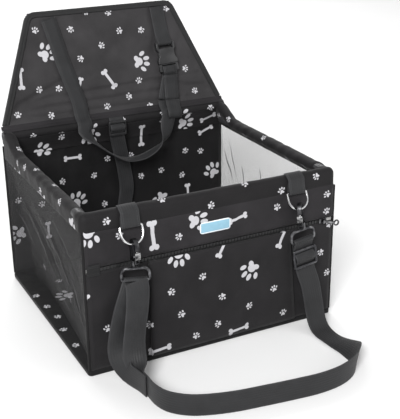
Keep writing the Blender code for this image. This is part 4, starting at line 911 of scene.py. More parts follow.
def sweep(profile: Sequence[Sequence[Vector]], closed: bool = False, caps: bool = False,
          along: Sequence[float] = (), around: Sequence[float] = ()) -> bmesh.types.BMesh:
    """Extrude one row of points through the others.

    Args:
        profile: Rows of points, all of one count.
        closed: Whether each row is a closed loop.
        caps: Whether closed rows get end faces.
        along: Cloth place of each row; measured where it is empty.
        around: Cloth place of each point of a row; measured where it is empty.

    Returns:
        The swept mesh, with u along the run and v around the profile.
    """
    shape = bmesh.new()
    layer = shape.loops.layers.uv.new(UV)
    rows = [list(row) for row in profile]
    middle = [sum(row, Vector()) / len(row) for row in rows]
    if not along:
        along = [run_length(middle[:i + 1]) for i in range(len(rows))]
    if not around:
        around = [run_length(rows[0][:i + 1]) for i in range(len(rows[0]))]
    first = [shape.verts.new(p) for p in rows[0]]
    count = len(first)
    edges = [shape.edges.new((first[i], first[i + 1])) for i in range(count - 1)]
    if closed:
        edges.append(shape.edges.new((first[-1], first[0])))
    index = {vert: (0, i) for i, vert in enumerate(first)}
    for number, row in enumerate(rows[1:], 1):
        grown = bmesh.ops.extrude_edge_only(shape, edges=edges)
        fresh = {item for item in grown["geom"] if isinstance(item, bmesh.types.BMVert)}
        ahead = {}
        for vert in {v for edge in edges for v in edge.verts}:
            ahead[next(e.other_vert(vert) for e in vert.link_edges if e.other_vert(vert) in fresh)] = index[vert][1]
        for vert, place in ahead.items():
            vert.co = row[place]
            index[vert] = (number, place)
        edges = [item for item in grown["geom"] if isinstance(item, bmesh.types.BMEdge)
                 and all(v in fresh for v in item.verts)]
    for face in shape.faces:
        spots = [index[loop.vert] for loop in face.loops]
        wraps = closed and {0, count - 1} <= {s[1] for s in spots}
        for loop, (number, place) in zip(face.loops, spots):
            v = around[place]
            if wraps and place == 0:
                v = around[-1] + (rows[0][-1] - rows[0][0]).length
            loop[layer].uv = (along[number], v)
    if closed and caps:
        for number in (0, len(rows) - 1):
            rim = [e for e in shape.edges if e.is_boundary and all(index[v][0] == number for v in e.verts)]
            bmesh.ops.holes_fill(shape, edges=rim)
    return shape


def cross_uv(shape: bmesh.types.BMesh, middle: float) -> None:
    """Turn a swept cloth map, so that u runs across from a middle and v along.

    Args:
        shape: The swept mesh.
        middle: Place across that becomes 0.
    """
    layer = shape.loops.layers.uv[UV]
    for face in shape.faces:
        for loop in face.loops:
            along, across = loop[layer].uv
            loop[layer].uv = (across - middle, along)


def ribbon(stations: Stations, width: float) -> bmesh.types.BMesh:
    """Flat strap through stations of (place, across), as an open sheet.

    Args:
        stations: Places and the way across at each.
        width: Width of the strap.

    Returns:
        The sheet, with u across from the middle and v along.
    """
    places = [Vector(place) for place, _ in stations]
    spots = [width * (k / RIBBON_CELLS - 0.5) for k in range(RIBBON_CELLS + 1)]
    rows = []
    for i, (place, (_, across)) in enumerate(zip(places, stations)):
        ahead = (places[min(i + 1, len(places) - 1)] - place).normalized()
        behind = (place - places[max(i - 1, 0)]).normalized()
        along = (ahead + behind).normalized()
        side = Vector(across)
        side = (side - along * side.dot(along)).normalized()
        rows.append([place + side * spot for spot in spots])
    shape = sweep(rows)
    cross_uv(shape, width / 2)
    return shape


def webbing(name: str, stations: Stations, body: str, replaced: Sequence[str] = (), finish: Finish = SMALL_STRAPPING,
            width: float = WEBBING_WIDTH, thickness: float = WEBBING, edge: float = 0.0003) -> bpy.types.Object:
    """Make one run of webbing.

    Args:
        name: Piece name.
        stations: Places that it passes, and the way across at each.
        body: Body that it rides on, or nothing for one that is blended.
        replaced: Model nodes that it stands for.
        finish: Its finish.
        width: Its width.
        thickness: Its thickness.
        edge: Radius of its edges.

    Returns:
        The new piece.
    """
    piece = add_piece(name, ribbon(stations, width), finish, body, replaced, recalc=False)
    thicken(piece, thickness, 0.0, edge)
    return piece


def round_edges(shape: bmesh.types.BMesh, edges: Sequence[bmesh.types.BMEdge], radius: float, segments: int) -> None:
    """Round some edges of a mesh.

    Args:
        shape: The mesh.
        edges: Edges to round.
        radius: Their radius.
        segments: Segments of each.
    """
    bmesh.ops.bevel(shape, geom=edges, offset=radius, offset_type="OFFSET", segments=segments, profile=0.5,
                    affect="EDGES", clamp_overlap=True, material=-1)


def slacken(shape: bmesh.types.BMesh, outward: Callable[[Vector], Vector], pinned: Callable[[Vector], bool],
            slack: float, cap: float, behind: float, frames: int = 14) -> None:
    """Let a sheet buckle under its own slack with a cloth simulation, and keep a capped part of it.

    Args:
        shape: The sheet, changed in place.
        outward: Rule for the way out of the sheet at a point.
        pinned: Rule for the points that stay.
        slack: Share by which the cloth is longer than its place.
        cap: Most that a point may move outward.
        behind: Most that a point may move inward.
        frames: Frames that are simulated.
    """
    mesh = bpy.data.meshes.new("slack")
    shape.to_mesh(mesh)
    guide = bpy.data.objects.new("slack", mesh)
    bpy.context.scene.collection.objects.link(guide)
    pins = guide.vertex_groups.new(name="pins")
    rest = [v.co.copy() for v in mesh.vertices]
    pins.add([i for i, co in enumerate(rest) if pinned(co)], 1.0, "REPLACE")
    for i, co in enumerate(rest):
        if not pinned(co):
            wave = math.sin(co.x * 71 + co.z * 53) * math.sin(co.z * 97 - co.y * 61 + co.x * 23)
            mesh.vertices[i].co = co + outward(co) * (0.0004 * wave)
    cloth = guide.modifiers.new("cloth", "CLOTH")
    for key, value in CLOTH_SETTINGS.items():
        setattr(cloth.settings, key, value)
    cloth.settings.shrink_min = -slack
    cloth.settings.shrink_max = -slack
    cloth.settings.effector_weights.gravity = 0.15
    cloth.point_cache.frame_start = 1
    cloth.point_cache.frame_end = frames
    for number in range(1, frames + 1):
        bpy.context.scene.frame_set(number)
    graph = bpy.context.evaluated_depsgraph_get()
    result = guide.evaluated_get(graph).to_mesh()
    moved = [v.co.copy() for v in result.vertices]
    guide.evaluated_get(graph).to_mesh_clear()
    bpy.context.scene.frame_set(1)
    shape.verts.ensure_lookup_table()
    for i, vert in enumerate(shape.verts):
        way = outward(rest[i])
        push = max(-behind, min(cap, (moved[i] - rest[i]).dot(way)))
        vert.co = rest[i] + way * push
    bpy.data.objects.remove(guide, do_unlink=True)
    bpy.data.meshes.remove(mesh)


def bump_at(x: float, z: float, centre: tuple[float, float], turn: float, size: tuple[float, float]) -> float:
    """Height of one soft fold, a turned bell of the given length and width.

    Args:
        x: Place across.
        z: Place up.
        centre: Middle of the fold.
        turn: Its turn in degrees.
        size: Its length and width.

    Returns:
        The height, 1 in the middle.
    """
    c, s = math.cos(math.radians(turn)), math.sin(math.radians(turn))
    dx, dz = x - centre[0], z - centre[1]
    a, b = (dx * c + dz * s) / size[0], (-dx * s + dz * c) / size[1]
    return math.exp(-a * a - b * b)


Fold = tuple[float, float, float, float, float, float]


def folded(x: float, z: float, folds: Iterable[Fold]) -> float:
    """Sum of folds, each (across, up, turn, length, width, height)."""
    return sum(height * bump_at(x, z, (cx, cz), turn, (length, width)) for cx, cz, turn, length, width, height in folds)


def polished(name: str, node: str, finish: Finish, body: str, edge: float) -> bpy.types.Object:
    """Rounded, smoothed copy of a model node that replaces it.

    Args:
        name: Piece name.
        node: Node that is copied.
        finish: Its finish.
        body: Body that it rides on.
        edge: Radius of its edges.

    Returns:
        The new piece.
    """
    shape = bmesh.new()
    shape.from_mesh(frame["nodes"][node].data)
    bmesh.ops.remove_doubles(shape, verts=shape.verts, dist=0.00001)
    bmesh.ops.recalc_face_normals(shape, faces=shape.faces)
    bmesh.ops.dissolve_limit(shape, angle_limit=math.radians(1.0), use_dissolve_boundaries=False,
                             verts=shape.verts, edges=shape.edges)
    if edge:
        hard = [e for e in shape.edges if e.is_convex and e.calc_face_angle(0) > HARD_ANGLE]
        round_edges(shape, hard, edge, 2)
    bmesh.ops.remove_doubles(shape, verts=shape.verts, dist=0.000004)
    piece = add_piece(name, shape, finish, body, (node,))
    sharp_from_angle(piece, 42)
    return piece


def dress(node: str, finish: Finish) -> None:
    """Give a model node that stays its finish.

    Args:
        node: Node name.
        finish: Its finish.
    """
    target = frame["nodes"][node]
    made = finish.make(node + "_finish")
    target.data.materials.clear()
    target.data.materials.append(made)
    LOG.info("%s: dressed", node)


def arc(centre: tuple[float, float], radius: float, start: float, end: float, steps: int) -> list[tuple[float, float]]:
    """Points of an arc from one angle to another, both in radians."""
    angles = [start + (end - start) * i / steps for i in range(steps + 1)]
    return [(centre[0] + radius * math.cos(a), centre[1] + radius * math.sin(a)) for a in angles]


def ease(value: float, low: float, high: float) -> float:
    """Smooth step from 0 at low to 1 at high."""
    t = max(0.0, min(1.0, (value - low) / (high - low)))
    return t * t * (3 - 2 * t)


def ripple(along: float, around: float) -> float:
    """Uneven gathers along a sleeve, from 0 to 1."""
    wave = math.sin(along * 190 + 2.0 * math.sin(around * 90)) * math.sin(along * 61 + 1.3)
    return 0.5 + 0.5 * wave * math.cos(along * 23 + around * 60)


# Sub-assemblies

@dataclass
class RimCover:
    """Cloth sleeves round the rim, and the tubes inside them."""

    turn: float = math.radians(200)
    step: float = 0.004
    back_end: float = 0.1715
    lift: float = 0.0195
    lift_start: float = 0.105
    gather: float = 0.0015
    arc_steps: int = 16
    band_cells: int = 80
    seam_depth: float = 0.0007
    seam_at: float = 0.0045
    seam_half: float = 0.0008
    hub_low: float = -0.006
    end_gap: float = 0.0006
    end_shrink: float = 0.06
    end_run: float = 0.012
    back_step: float = 0.005
    back_bunch: float = 0.8
    back_phase: float = 0.5
    piping_cells: int = 40

    def section(self) -> list[tuple[float, float]]:
        """Outline of a sleeve from its outer hem over the tube to its inner hem.

        Returns:
            Points (outward, up) about the tube's middle.
        """
        points = [(SLEEVE, -HEM_DROP * share) for share in (1.0, 0.8, 0.6, 0.4, 0.2)]
        points += arc((0, 0), SLEEVE, 0, self.turn, self.arc_steps)
        start, end = points[-1], (SLEEVE - HEM, -HEM_DROP)
        for share in (0.2, 0.4, 0.6, 0.8, 1.0):
            points.append((start[0] + (end[0] - start[0]) * share, start[1] + (end[1] - start[1]) * share))
        return points

    def around(self) -> list[float]:
        """Cloth place of each point of the section."""
        points = [Vector((*p, 0)) for p in self.section()]
        return [run_length(points[:i + 1]) for i in range(len(points))]

    def shaped(self, p: float, q: float, along: float, around: float, bunch: float) -> tuple[float, float]:
        """Section point with its gathers pressed in.

        Args:
            p: Outward place.
            q: Place up.
            along: Cloth place along the run.
            around: Cloth place round the section.
            bunch: Depth of the gathers, 1 for the usual one.

        Returns:
            The shaped point.
        """
        depth = self.gather * bunch * ripple(along, around) * ease(around, 0.001, 0.006)
        depth += self.seam_depth * math.exp(-((around - self.seam_at) / self.seam_half) ** 2)
        hub = max(q, self.hub_low)
        radius = math.hypot(p, hub) or 1.0
        return p - depth * p / radius, q - depth * hub / radius

    def rim_rows(self) -> tuple[list[list[Vector]], list[float]]:
        """Rows of the sleeve that runs round the sides and the front.

        Returns:
            The rows, and the cloth place of each along the run, with x on the front.
        """
        section, around = self.section(), self.around()
        rows, along = [], []
        side_steps = int((self.back_end + RIM_Y) / self.step)
        places = [(-1, "side", self.back_end - i * (self.back_end + RIM_Y) / side_steps) for i in range(side_steps)]
        places += [(-1, "corner", a) for a in range(0, 91, 15)]
        front_steps = int(2 * SIDE_X / self.step)
        places += [(0, "front", -SIDE_X + i * 2 * SIDE_X / front_steps) for i in range(1, front_steps)]
        places += [(1, "corner", a) for a in range(90, -1, -15)]
        places += [(1, "side", -RIM_Y + i * (self.back_end + RIM_Y) / side_steps) for i in range(1, side_steps + 1)]
        for side, kind, at in places:
            if kind == "side":
                run = side * (SIDE_X + at + RIM_Y)
                bunch = 1.0 + 1.2 * math.exp(-((at + RIM_Y - 0.02) / 0.02) ** 2)
            elif kind == "corner":
                run = side * (SIDE_X + 0.0006 * (45 - at) / 45)
                bunch = 0.8
            else:
                run = at
                bunch = 0.55 + 0.5 * math.exp(-((abs(at) - SIDE_X + 0.014) / 0.016) ** 2)
            row = []
            for (p0, q0), v in zip(section, around):
                p, q = self.shaped(p0, q0, run, v, bunch)
                if kind == "side":
                    y = max(at, -RIM_Y - p) if p < 0 else at
                    rise = self.lift * ease(at, self.lift_start, 0.166) * ease(q, -HEM_DROP, 0.002)
                    row.append(Vector((side * (SIDE_X + p), y, RIM_Z + q + rise)))
                elif kind == "front":
                    x = max(-SIDE_X - p, min(SIDE_X + p, at)) if p < 0 else at
                    row.append(Vector((x, -RIM_Y - p, RIM_Z + q)))
                elif p < 0:
                    row.append(Vector((side * (SIDE_X + p), -RIM_Y - p, RIM_Z + q)))
                else:
                    turn = math.radians(at)
                    row.append(Vector((side * (SIDE_X + p * math.cos(turn)), -RIM_Y - p * math.sin(turn), RIM_Z + q)))
            rows.append(row)
            along.append(run)
        return rows, along

    def rim(self) -> None:
        """Make the sleeve round the sides and the front."""
        rows, along = self.rim_rows()
        shape = sweep(rows, closed=True, caps=True, along=along, around=self.around())
        bmesh.ops.remove_doubles(shape, verts=shape.verts, dist=0.00005)
        left = [(-SIDE_X - RIM_Y - y, *rest) for y, *rest in LEFT_SLEEVE_PAWS]
        right = [(SIDE_X + RIM_Y + y, *rest) for y, *rest in RIGHT_SLEEVE_PAWS]
        paws = (*FRONT_SLEEVE_PAWS, *left, *right)
        bones = ((SIDE_X + RIM_Y + 0.160, 0.056, 10, 0.0110), (0.018 - SIDE_X - RIM_Y, -0.0010, 6, 0.0165),
                 (-0.100 - SIDE_X - RIM_Y, -0.0005, 6, 0.0150))
        piece = add_piece("rim_cover", shape, ClothFinish(paws=paws, bones=bones), "seat",
                          ("rim_sleeve_left", "rim_sleeve_front", "rim_sleeve_right"))
        sharp_from_angle(piece, 60)
        soften(piece)

    def back(self) -> None:
        """Make the sleeve along the top of the back wall, with its closed ends."""
        section, around = self.section(), self.around()
        end = HALF_WIDTH - self.end_gap
        steps = int(2 * end / self.back_step)
        rows, along = [], []
        for i in range(steps + 1):
            x = end * (2 * i / steps - 1)
            size = 1 - self.end_shrink * ease(abs(x), HALF_WIDTH - self.end_run, HALF_WIDTH)
            row = []
            for (p0, q0), v in zip(section, around):
                p, q = self.shaped(p0, q0, x + self.back_phase, v, self.back_bunch)
                row.append(Vector((x, RIM_Y + p * size, BACK_RIM_Z + q * size)))
            rows.append(row)
            along.append(x)
        shape = sweep(rows, closed=True, caps=True, along=along, around=around)
        piece = add_piece("back_rim_cover", shape, ClothFinish(paws=BACK_SLEEVE_PAWS, bones=BACK_SLEEVE_BONES),
                          "seat", ("rim_sleeve_back",))
        sharp_from_angle(piece, 60)
        soften(piece)

    def back_band(self) -> None:
        """Make the broad sewn band below the back sleeve, inside the seat."""
        line = ((0.1632, 0.2452), (0.1646, 0.2415), (0.1664, 0.2370), (0.1686, 0.2320), (0.1706, 0.2270),
                (0.1719, 0.2220), (0.1722, 0.2195), (0.1724, 0.2180), (0.1727, 0.2162))
        rows = []
        for i in range(self.band_cells + 1):
            x = (WALL_HALF + 0.0020) * (2 * i / self.band_cells - 1)
            row = []
            for k, (y, z) in enumerate(line):
                sway = 0.0006 * ripple(x + 0.3, z) * math.sin(math.pi * k / (len(line) - 1))
                row.append(Vector((x, y + sway, z)))
            rows.append(row)
        shape = sweep(rows)
        lay_uv(shape, lambda co: (co.x, co.z - 0.2180))
        shape.normal_update()
        if sum(f.normal.y for f in shape.faces) > 0:
            bmesh.ops.reverse_faces(shape, faces=shape.faces)
        piece = add_piece("back_rim_band", shape, ClothFinish(paws=BACK_BAND_PAWS, bones=BACK_BAND_BONES), "seat",
                          (), recalc=False)
        thicken(piece, 0.0008, 1.0, 0.0002)

    def build(self) -> None:
        """Make the sleeves, and dress the tubes, elbows and corner pipings."""
        self.rim()
        self.back()
        self.back_band()
        for node in ("rim_tube_front", "rim_tube_left", "rim_tube_right", "rim_tube_back",
                     "rim_elbow_left", "rim_elbow_right"):
            dress(node, TUBE)
        for corner in ("front_left", "front_right", "back_left", "back_right"):
            self.piping(corner)

    def piping(self, corner: str) -> None:
        """Make one corner piping, a cord in cloth with slight waves.

        Args:
            corner: Which corner.
        """
        low, high = (Vector(v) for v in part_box("piping_" + corner))
        middle, radius = (low + high) / 2, (high.x - low.x) / 2
        rows = []
        for i in range(self.piping_cells + 1):
            z = low.z + (high.z - low.z) * i / self.piping_cells
            size = radius * (0.93 + 0.05 * math.sin(z * 310) * math.sin(z * 97))
            rows.append([Vector((x, y, z)) for x, y in arc((middle.x, middle.y), size, 0, 2 * math.pi, 12)[:-1]])
        shape = sweep(rows, closed=True, caps=True)
        # The piping's cloth is a darker copy, painted shade.
        piece = add_piece("piping_" + corner + "_cord", shape, ClothFinish(PAINTED_SHADE_PIPING_CLOTH), "seat", ("piping_" + corner,))
        sharp_from_angle(piece, 60)


@dataclass
class Walls:
    """Cloth faces of the front and back walls, and the wrap round the base."""

    wall_foot: float = 0.0089
    front_top: float = 0.2127
    back_top: float = 0.2327
    band_foot: float = 0.1635
    inner_y: float = 0.1733
    cell: float = 0.0055
    base_corner: float = 0.0060
    base_edge: float = 0.0022
    back_y: float = 0.1789
    give: float = 0.0009
    fade: float = 0.015
    slack: float = 0.012
    tuck_up: float = 0.0035
    tuck_in: float = 0.0014
    label_centre: tuple[float, float] = (-0.0025, 0.1881)
    label_half: tuple[float, float] = (0.030, 0.013)

    def face(self, name: str, node: str, y: float, front: bool, foot: float, top: float, finish: Finish, slot: str,
             folds: Sequence[Fold] = (), slack: float = 0.0, pinned: Callable[[Vector], bool] | None = None,
             edge: float = 0.004) -> None:
        """Make one cloth face of a wall.

        Args:
            name: Piece name.
            node: Node that it replaces.
            y: Place of its outer side.
            front: Whether it faces the front.
            foot: Its lowest height.
            top: Its greatest height.
            finish: Its finish.
            slot: Material slot; not used.
            folds: Folds pressed into it.
            slack: Share by which the cloth is longer than the wall.
            pinned: Further points that stay flat.
            edge: Width of the seam that stays flat.
        """
        across, up = round(2 * WALL_HALF / self.cell), max(2, round((top - foot) / self.cell))
        shape = sheet_grid(2 * CLOTH_HALF, top - foot, across, up)
        place = (frame_of(X, Z, Vector((-CLOTH_HALF, y, foot))) if front
                 else frame_of(-X, Z, Vector((CLOTH_HALF, y, foot))))
        bmesh.ops.transform(shape, matrix=place, verts=shape.verts)
        way = place.col[2].to_3d()

        def held(co: Vector) -> bool:
            near = (min(co.z - foot, top - co.z) < edge or WALL_HALF - abs(co.x) < edge)
            return near or (pinned is not None and pinned(co))

        if slack:
            slacken(shape, lambda co: way, held, slack, self.give, self.give)
        for vert in shape.verts:
            if not held(vert.co):
                rim = min(1.0, min(vert.co.z - foot, top - vert.co.z, WALL_HALF - abs(vert.co.x)) / self.fade)
                vert.co += way * folded(vert.co.x, vert.co.z, folds) * rim
        upper = [e for e in shape.edges if e.is_boundary and all(v.co.z > top - 0.00001 for v in e.verts)]
        grown = bmesh.ops.extrude_edge_only(shape, edges=upper)
        tucked = [item for item in grown["geom"] if isinstance(item, bmesh.types.BMVert)]
        bmesh.ops.translate(shape, verts=tucked, vec=Z * self.tuck_up - way * self.tuck_in)
        lay_uv(shape, lambda co: (co.x, co.z))
        piece = add_piece(name, shape, finish, "seat", (node,), recalc=False)
        thicken(piece, CLOTH, -1.0)

    def by_label(self, co: Vector) -> bool:
        """Whether a point is under the label or beside it."""
        return all(abs(at - middle) < half for at, middle, half in zip(co.xz, self.label_centre, self.label_half))

    def base(self) -> None:
        """Make the wrap round the base, soft at its edges."""
        shape = bmesh.new()
        size = Matrix.Diagonal((2 * HALF_WIDTH, 2 * HALF_DEPTH, FLOOR_TOP, 1))
        bmesh.ops.create_cube(shape, size=1, matrix=Matrix.Translation((0, 0, FLOOR_TOP / 2)) @ size)
        upright = [e for e in shape.edges if abs((e.verts[0].co - e.verts[1].co).z) > FLOOR_TOP / 2]
        round_edges(shape, upright, self.base_corner, 4)
        level = [e for e in shape.edges if abs((e.verts[0].co - e.verts[1].co).z) < 0.0001]
        round_edges(shape, level, self.base_edge, 3)
        lay_uv(shape, lambda co: (co.x, co.y))
        # The base's cloth is the darkest copy, painted shade.
        piece = add_piece("base_wrap", shape, ClothFinish(PAINTED_SHADE_INNER_CLOTH, paws=BASE_PAWS, bones=BASE_BONES), "seat",
                          ("base_cover",))
        sharp_from_angle(piece, 50)

    def build(self) -> None:
        """Make every wall face and the base, and dress the boards."""
        band_folds = (
            (-0.158, 0.186, 80, 0.022, 0.006, 0.0007), (-0.128, 0.190, 95, 0.020, 0.004, -0.0007),
            (-0.060, 0.190, 75, 0.020, 0.005, 0.0006), (0.045, 0.188, 105, 0.020, 0.005, -0.0006),
            (0.092, 0.186, 80, 0.022, 0.006, 0.0007), (0.160, 0.188, 100, 0.022, 0.006, -0.0006),
        )
        # The front band's cloth is painted light, a lighter copy of the same cloth.
        self.face("front_band_cloth", "front_band", -HALF_DEPTH, True, self.band_foot, self.front_top,
                  ClothFinish(PAINTED_LIGHT_CLOTH, paws=BAND_PAWS, bones=BAND_BONES), "cloth", band_folds,
                  self.slack, self.by_label)
        self.face("front_liner_cloth", "front_liner", -self.inner_y, False, self.wall_foot, self.front_top,
                  ClothFinish(), "liner")
        back_folds = (
            (-0.120, 0.170, 30, 0.060, 0.008, -0.0007), (-0.030, 0.120, 70, 0.060, 0.010, -0.0008),
            (0.060, 0.150, 100, 0.050, 0.008, -0.0007), (0.140, 0.120, 60, 0.060, 0.010, -0.0007),
        )
        # The back wall's inside takes the darkest copy of the cloth, painted shade.
        self.face("back_liner_cloth", "back_liner", self.inner_y, True, self.wall_foot, self.back_top,
                  ClothFinish(PAINTED_SHADE_INNER_CLOTH, paws=INNER_PAWS, bones=INNER_BONES), "cloth", back_folds,
                  self.slack)
        self.face("back_cloth", "back_cover", self.back_y, False, self.wall_foot, self.back_top,
                  ClothFinish(paws=BACK_PAWS, bones=BACK_BONES), "cloth", back_folds, self.slack)
        self.base()
        for node in ("front_board", "back_board", "base_board"):
            dress(node, BOARD)


@dataclass
class Pocket:
    """Pleated front pocket with its zip, end tab and bare label."""

    foot: float = 0.0089
    top: float = 0.1565
    left: float = -0.105
    right_top: float = 0.119
    right_foot: float = 0.132
    depth: float = 0.012
    rows: int = 30
    counts: tuple[int, ...] = (16, 4, 38, 4, 14)
    tape_y: float = 0.1782
    tape_thick: float = 0.0008
    tape_cells: tuple[int, int] = (60, 3)
    tab_cells: tuple[int, int] = (8, 7)
    tab_thick: float = 0.0006
    tab_curl: float = 0.0004
    folds: Sequence[Fold] = (
        (-0.045, 0.120, 60, 0.045, 0.008, -0.0010), (0.020, 0.095, 100, 0.060, 0.010, 0.0012),
        (0.085, 0.110, 75, 0.050, 0.009, -0.0011), (-0.080, 0.060, 80, 0.050, 0.009, 0.0010),
        (0.050, 0.045, 20, 0.060, 0.010, -0.0009), (-0.020, 0.045, 150, 0.050, 0.009, 0.0009),
    )

    def plan(self, right: float) -> list[tuple[float, int]]:
        """Line of the panel at one height, as (across, layer), folded at either side of its middle.

        Args:
            right: Place of the right fold at that height.

        Returns:
            The places, from left to right.
        """
        spots: list[tuple[float, int]] = []
        runs = (
            (-CLOTH_HALF, self.left + self.depth, 0), (self.left + self.depth, self.left, 1),
            (self.left, right, 2), (right, right - self.depth, 1), (right - self.depth, CLOTH_HALF, 0),
        )
        for (start, end, layer), count in zip(runs, self.counts):
            spots += [(start + (end - start) * i / count, layer) for i in range(count + 1)]
        return spots

    def panel(self) -> None:
        """Make the pleated panel."""
        rows = []
        for i in range(self.rows + 1):
            share = i / self.rows
            z = self.foot + (self.top - self.foot) * share
            right = self.right_foot + (self.right_top - self.right_foot) * share
            row = []
            for x, layer in self.plan(right):
                y = HALF_DEPTH - CLOTH / 2 + (CLOTH + FIT) * layer
                loose = (1 - ease(z, 0.112, 0.142)) * ease(z, self.foot, 0.030)
                if layer == 2:
                    inside = ease(x, self.left, self.left + 0.03) * (1 - ease(x, right - 0.03, right))
                    y += loose * (0.0016 * inside + folded(x, z, self.folds) * inside)
                elif layer == 0:
                    inside = ease(abs(x), abs(self.left) + 0.01, 0.150) * (1 - ease(abs(x), 0.170, WALL_HALF - 0.004))
                    y += loose * 0.0012 * inside * (1 + math.sin(x * 160 + z * 40)) * 0.5
                row.append(Vector((x, -y, z)))
            rows.append(row)
        shape = sweep(rows)
        slacken(shape, lambda co: -Y, self.pinned, 0.010, 0.0009, 0.0004)
        lay_uv(shape, lambda co: (co.x, co.z))
        # The pocket's cloth is painted shade, a darker copy than the band's.
        piece = add_piece("pocket_cloth", shape, ClothFinish(PAINTED_SHADE_POCKET_CLOTH, paws=POCKET_PAWS, bones=POCKET_BONES),
                          "seat", ("pocket_panel",), recalc=False)
        wanted = [p for p in piece.data.polygons if abs(p.normal.y) > 0.9 and abs(p.center.x) < 0.05]
        if wanted and wanted[0].normal.y > 0:
            piece.data.flip_normals()
        thicken(piece, CLOTH * 0.9, 0.0)

    def pinned(self, co: Vector) -> bool:
        """Whether a point of the panel is sewn or pressed in a pleat.

        Args:
            co: The point.

        Returns:
            Whether it stays.
        """
        share = (co.z - self.foot) / (self.top - self.foot)
        right = self.right_foot + (self.right_top - self.right_foot) * share
        pleat = co.x < self.left + self.depth + 0.002 or co.x > right - self.depth - 0.002
        return pleat or co.z < self.foot + 0.004 or co.z > self.top - 0.014

    def tape(self, name: str, foot: float, top: float) -> None:
        """Make one zip tape.

        Args:
            name: Node that it replaces.
            foot: Its lowest height.
            top: Its greatest height.
        """
        shape = sheet_grid(2 * WALL_HALF, top - foot, *self.tape_cells)
        bmesh.ops.transform(shape, matrix=frame_of(X, Z, Vector((-WALL_HALF, -self.tape_y, foot))), verts=shape.verts)
        lay_uv(shape, lambda co: (co.z - (foot + top) / 2, co.x))
        piece = add_piece(name + "_web", shape, TAPE, "seat", (name,), recalc=False)
        thicken(piece, self.tape_thick, -1.0)

    def end_tab(self) -> None:
        """Make the square tab sewn over the left end of the zip, with its stitched edges."""
        low, high = (Vector(v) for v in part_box("zip_end_tab"))
        shape = sheet_grid(high.x - low.x, high.z - low.z, *self.tab_cells)
        bmesh.ops.transform(shape, matrix=frame_of(X, Z, Vector((low.x, low.y, low.z))), verts=shape.verts)
        middle = (low + high) / 2
        for vert in shape.verts:
            x, z = (vert.co.x - middle.x) / (high.x - low.x) * 2, (vert.co.z - middle.z) / (high.z - low.z) * 2
            vert.co.y += self.tab_curl * max(abs(x), abs(z)) ** 4
        lay_uv(shape, lambda co: (co.z - middle.z, co.x))
        piece = add_piece("zip_end_cover", shape, END_TAB, "seat", ("zip_end_tab",),
                          recalc=False)
        thicken(piece, self.tab_thick, -1.0, 0.0002)

    def build(self) -> None:
        """Make the pocket's pieces."""
        self.panel()
        self.tape("zip_tape_upper", 0.1625, 0.1720)
        self.tape("zip_tape_lower", 0.1480, 0.1575)
        dress("zip_teeth", TEETH)
        self.end_tab()
        low, high = (Vector(v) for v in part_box("patch"))
        middle, half = (low + high) / 2, (high - low) / 2
        polished("label", "patch", LabelFinish((middle.x, middle.z), (half.x, half.z)), "seat", 0.00015)
        polished("slider", "zip_slider", BLACK_METAL, "zip_runner", 0.0002)
        polished("puller", "zip_puller", BLACK_METAL, "zip_pull", 0.00025)


@dataclass
class SideNet:
    """One net side, straight along the rim and drawn in at the base."""

    side: int
    foot: float = 0.0089
    top: float = 0.2140
    end: float = 0.1747
    top_x: float = 0.1975
    inset: float = 0.030
    sag: float = 0.003
    cells: tuple[int, int] = (96, 52)
    shares: Sequence[tuple[float, float]] = (
        (0.00, 0.00), (0.03, 0.12), (0.10, 0.38), (0.25, 0.58), (0.50, 0.82),
        (0.75, 1.00), (0.92, 0.85), (0.975, 0.18), (1.00, 0.00),
    )
    folds: Sequence[Fold] = (
        (-0.060, 0.110, 35, 0.110, 0.006, 0.0030), (0.000, 0.090, 32, 0.110, 0.005, -0.0026),
        (0.060, 0.105, 38, 0.100, 0.007, 0.0028), (0.110, 0.130, 42, 0.070, 0.006, -0.0022),
        (-0.120, 0.070, 48, 0.070, 0.006, 0.0020), (0.130, 0.060, 20, 0.060, 0.006, 0.0018),
        (0.020, 0.160, 25, 0.090, 0.005, 0.0016), (-0.090, 0.150, 30, 0.070, 0.005, -0.0016),
    )

    def lean(self, share: float) -> float:
        """How far the foot leans in at a share of the net's length, from 0 to 1.

        Args:
            share: Share of the net's length from its front end.

        Returns:
            The lean.
        """
        pairs = list(zip(self.shares, self.shares[1:]))
        for (a, low), (b, high) in pairs:
            if share <= b:
                t = (share - a) / (b - a)
                return low + (high - low) * t
        return 0.0

    def build(self) -> None:
        """Make the net as one stretched sheet."""
        shape = sheet_grid(2 * self.end, self.top - self.foot, *self.cells)
        for vert in shape.verts:
            y, z = vert.co.x - self.end, vert.co.y + self.foot
            share = (y + self.end) / (2 * self.end)
            rise = (z - self.foot) / (self.top - self.foot)
            lean = 0.5 * self.lean(share) + 0.25 * (self.lean(max(0, share - 0.02)) + self.lean(min(1, share + 0.02)))
            lean *= ease(share, 0.0, 0.01) * (1 - ease(share, 0.99, 1.0))
            x = self.top_x - self.inset * lean * (1 - rise) - self.sag * lean * math.sin(math.pi * rise)
            free = math.sin(math.pi * rise) * ease(share, 0.0, 0.08) * (1 - ease(share, 0.92, 1.0))
            fold = folded(y, z, self.folds)
            fold += 0.0008 * math.sin(z * 150 + y * 95) * math.sin(y * 60 + 0.7)
            x += free * fold - 0.0006 * free
            vert.co = Vector((self.side * min(x, self.top_x), y, z))
        lay_uv(shape, lambda co: (co.y, co.z))
        name = "left" if self.side < 0 else "right"
        if self.side < 0:
            bmesh.ops.reverse_faces(shape, faces=shape.faces)
        finish = NetFinish(paws=NET_PAWS, creases=LEFT_CREASES if self.side < 0 else RIGHT_CREASES)
        piece = add_piece(name + "_net", shape, finish, "seat", (name + "_mesh",), recalc=False)


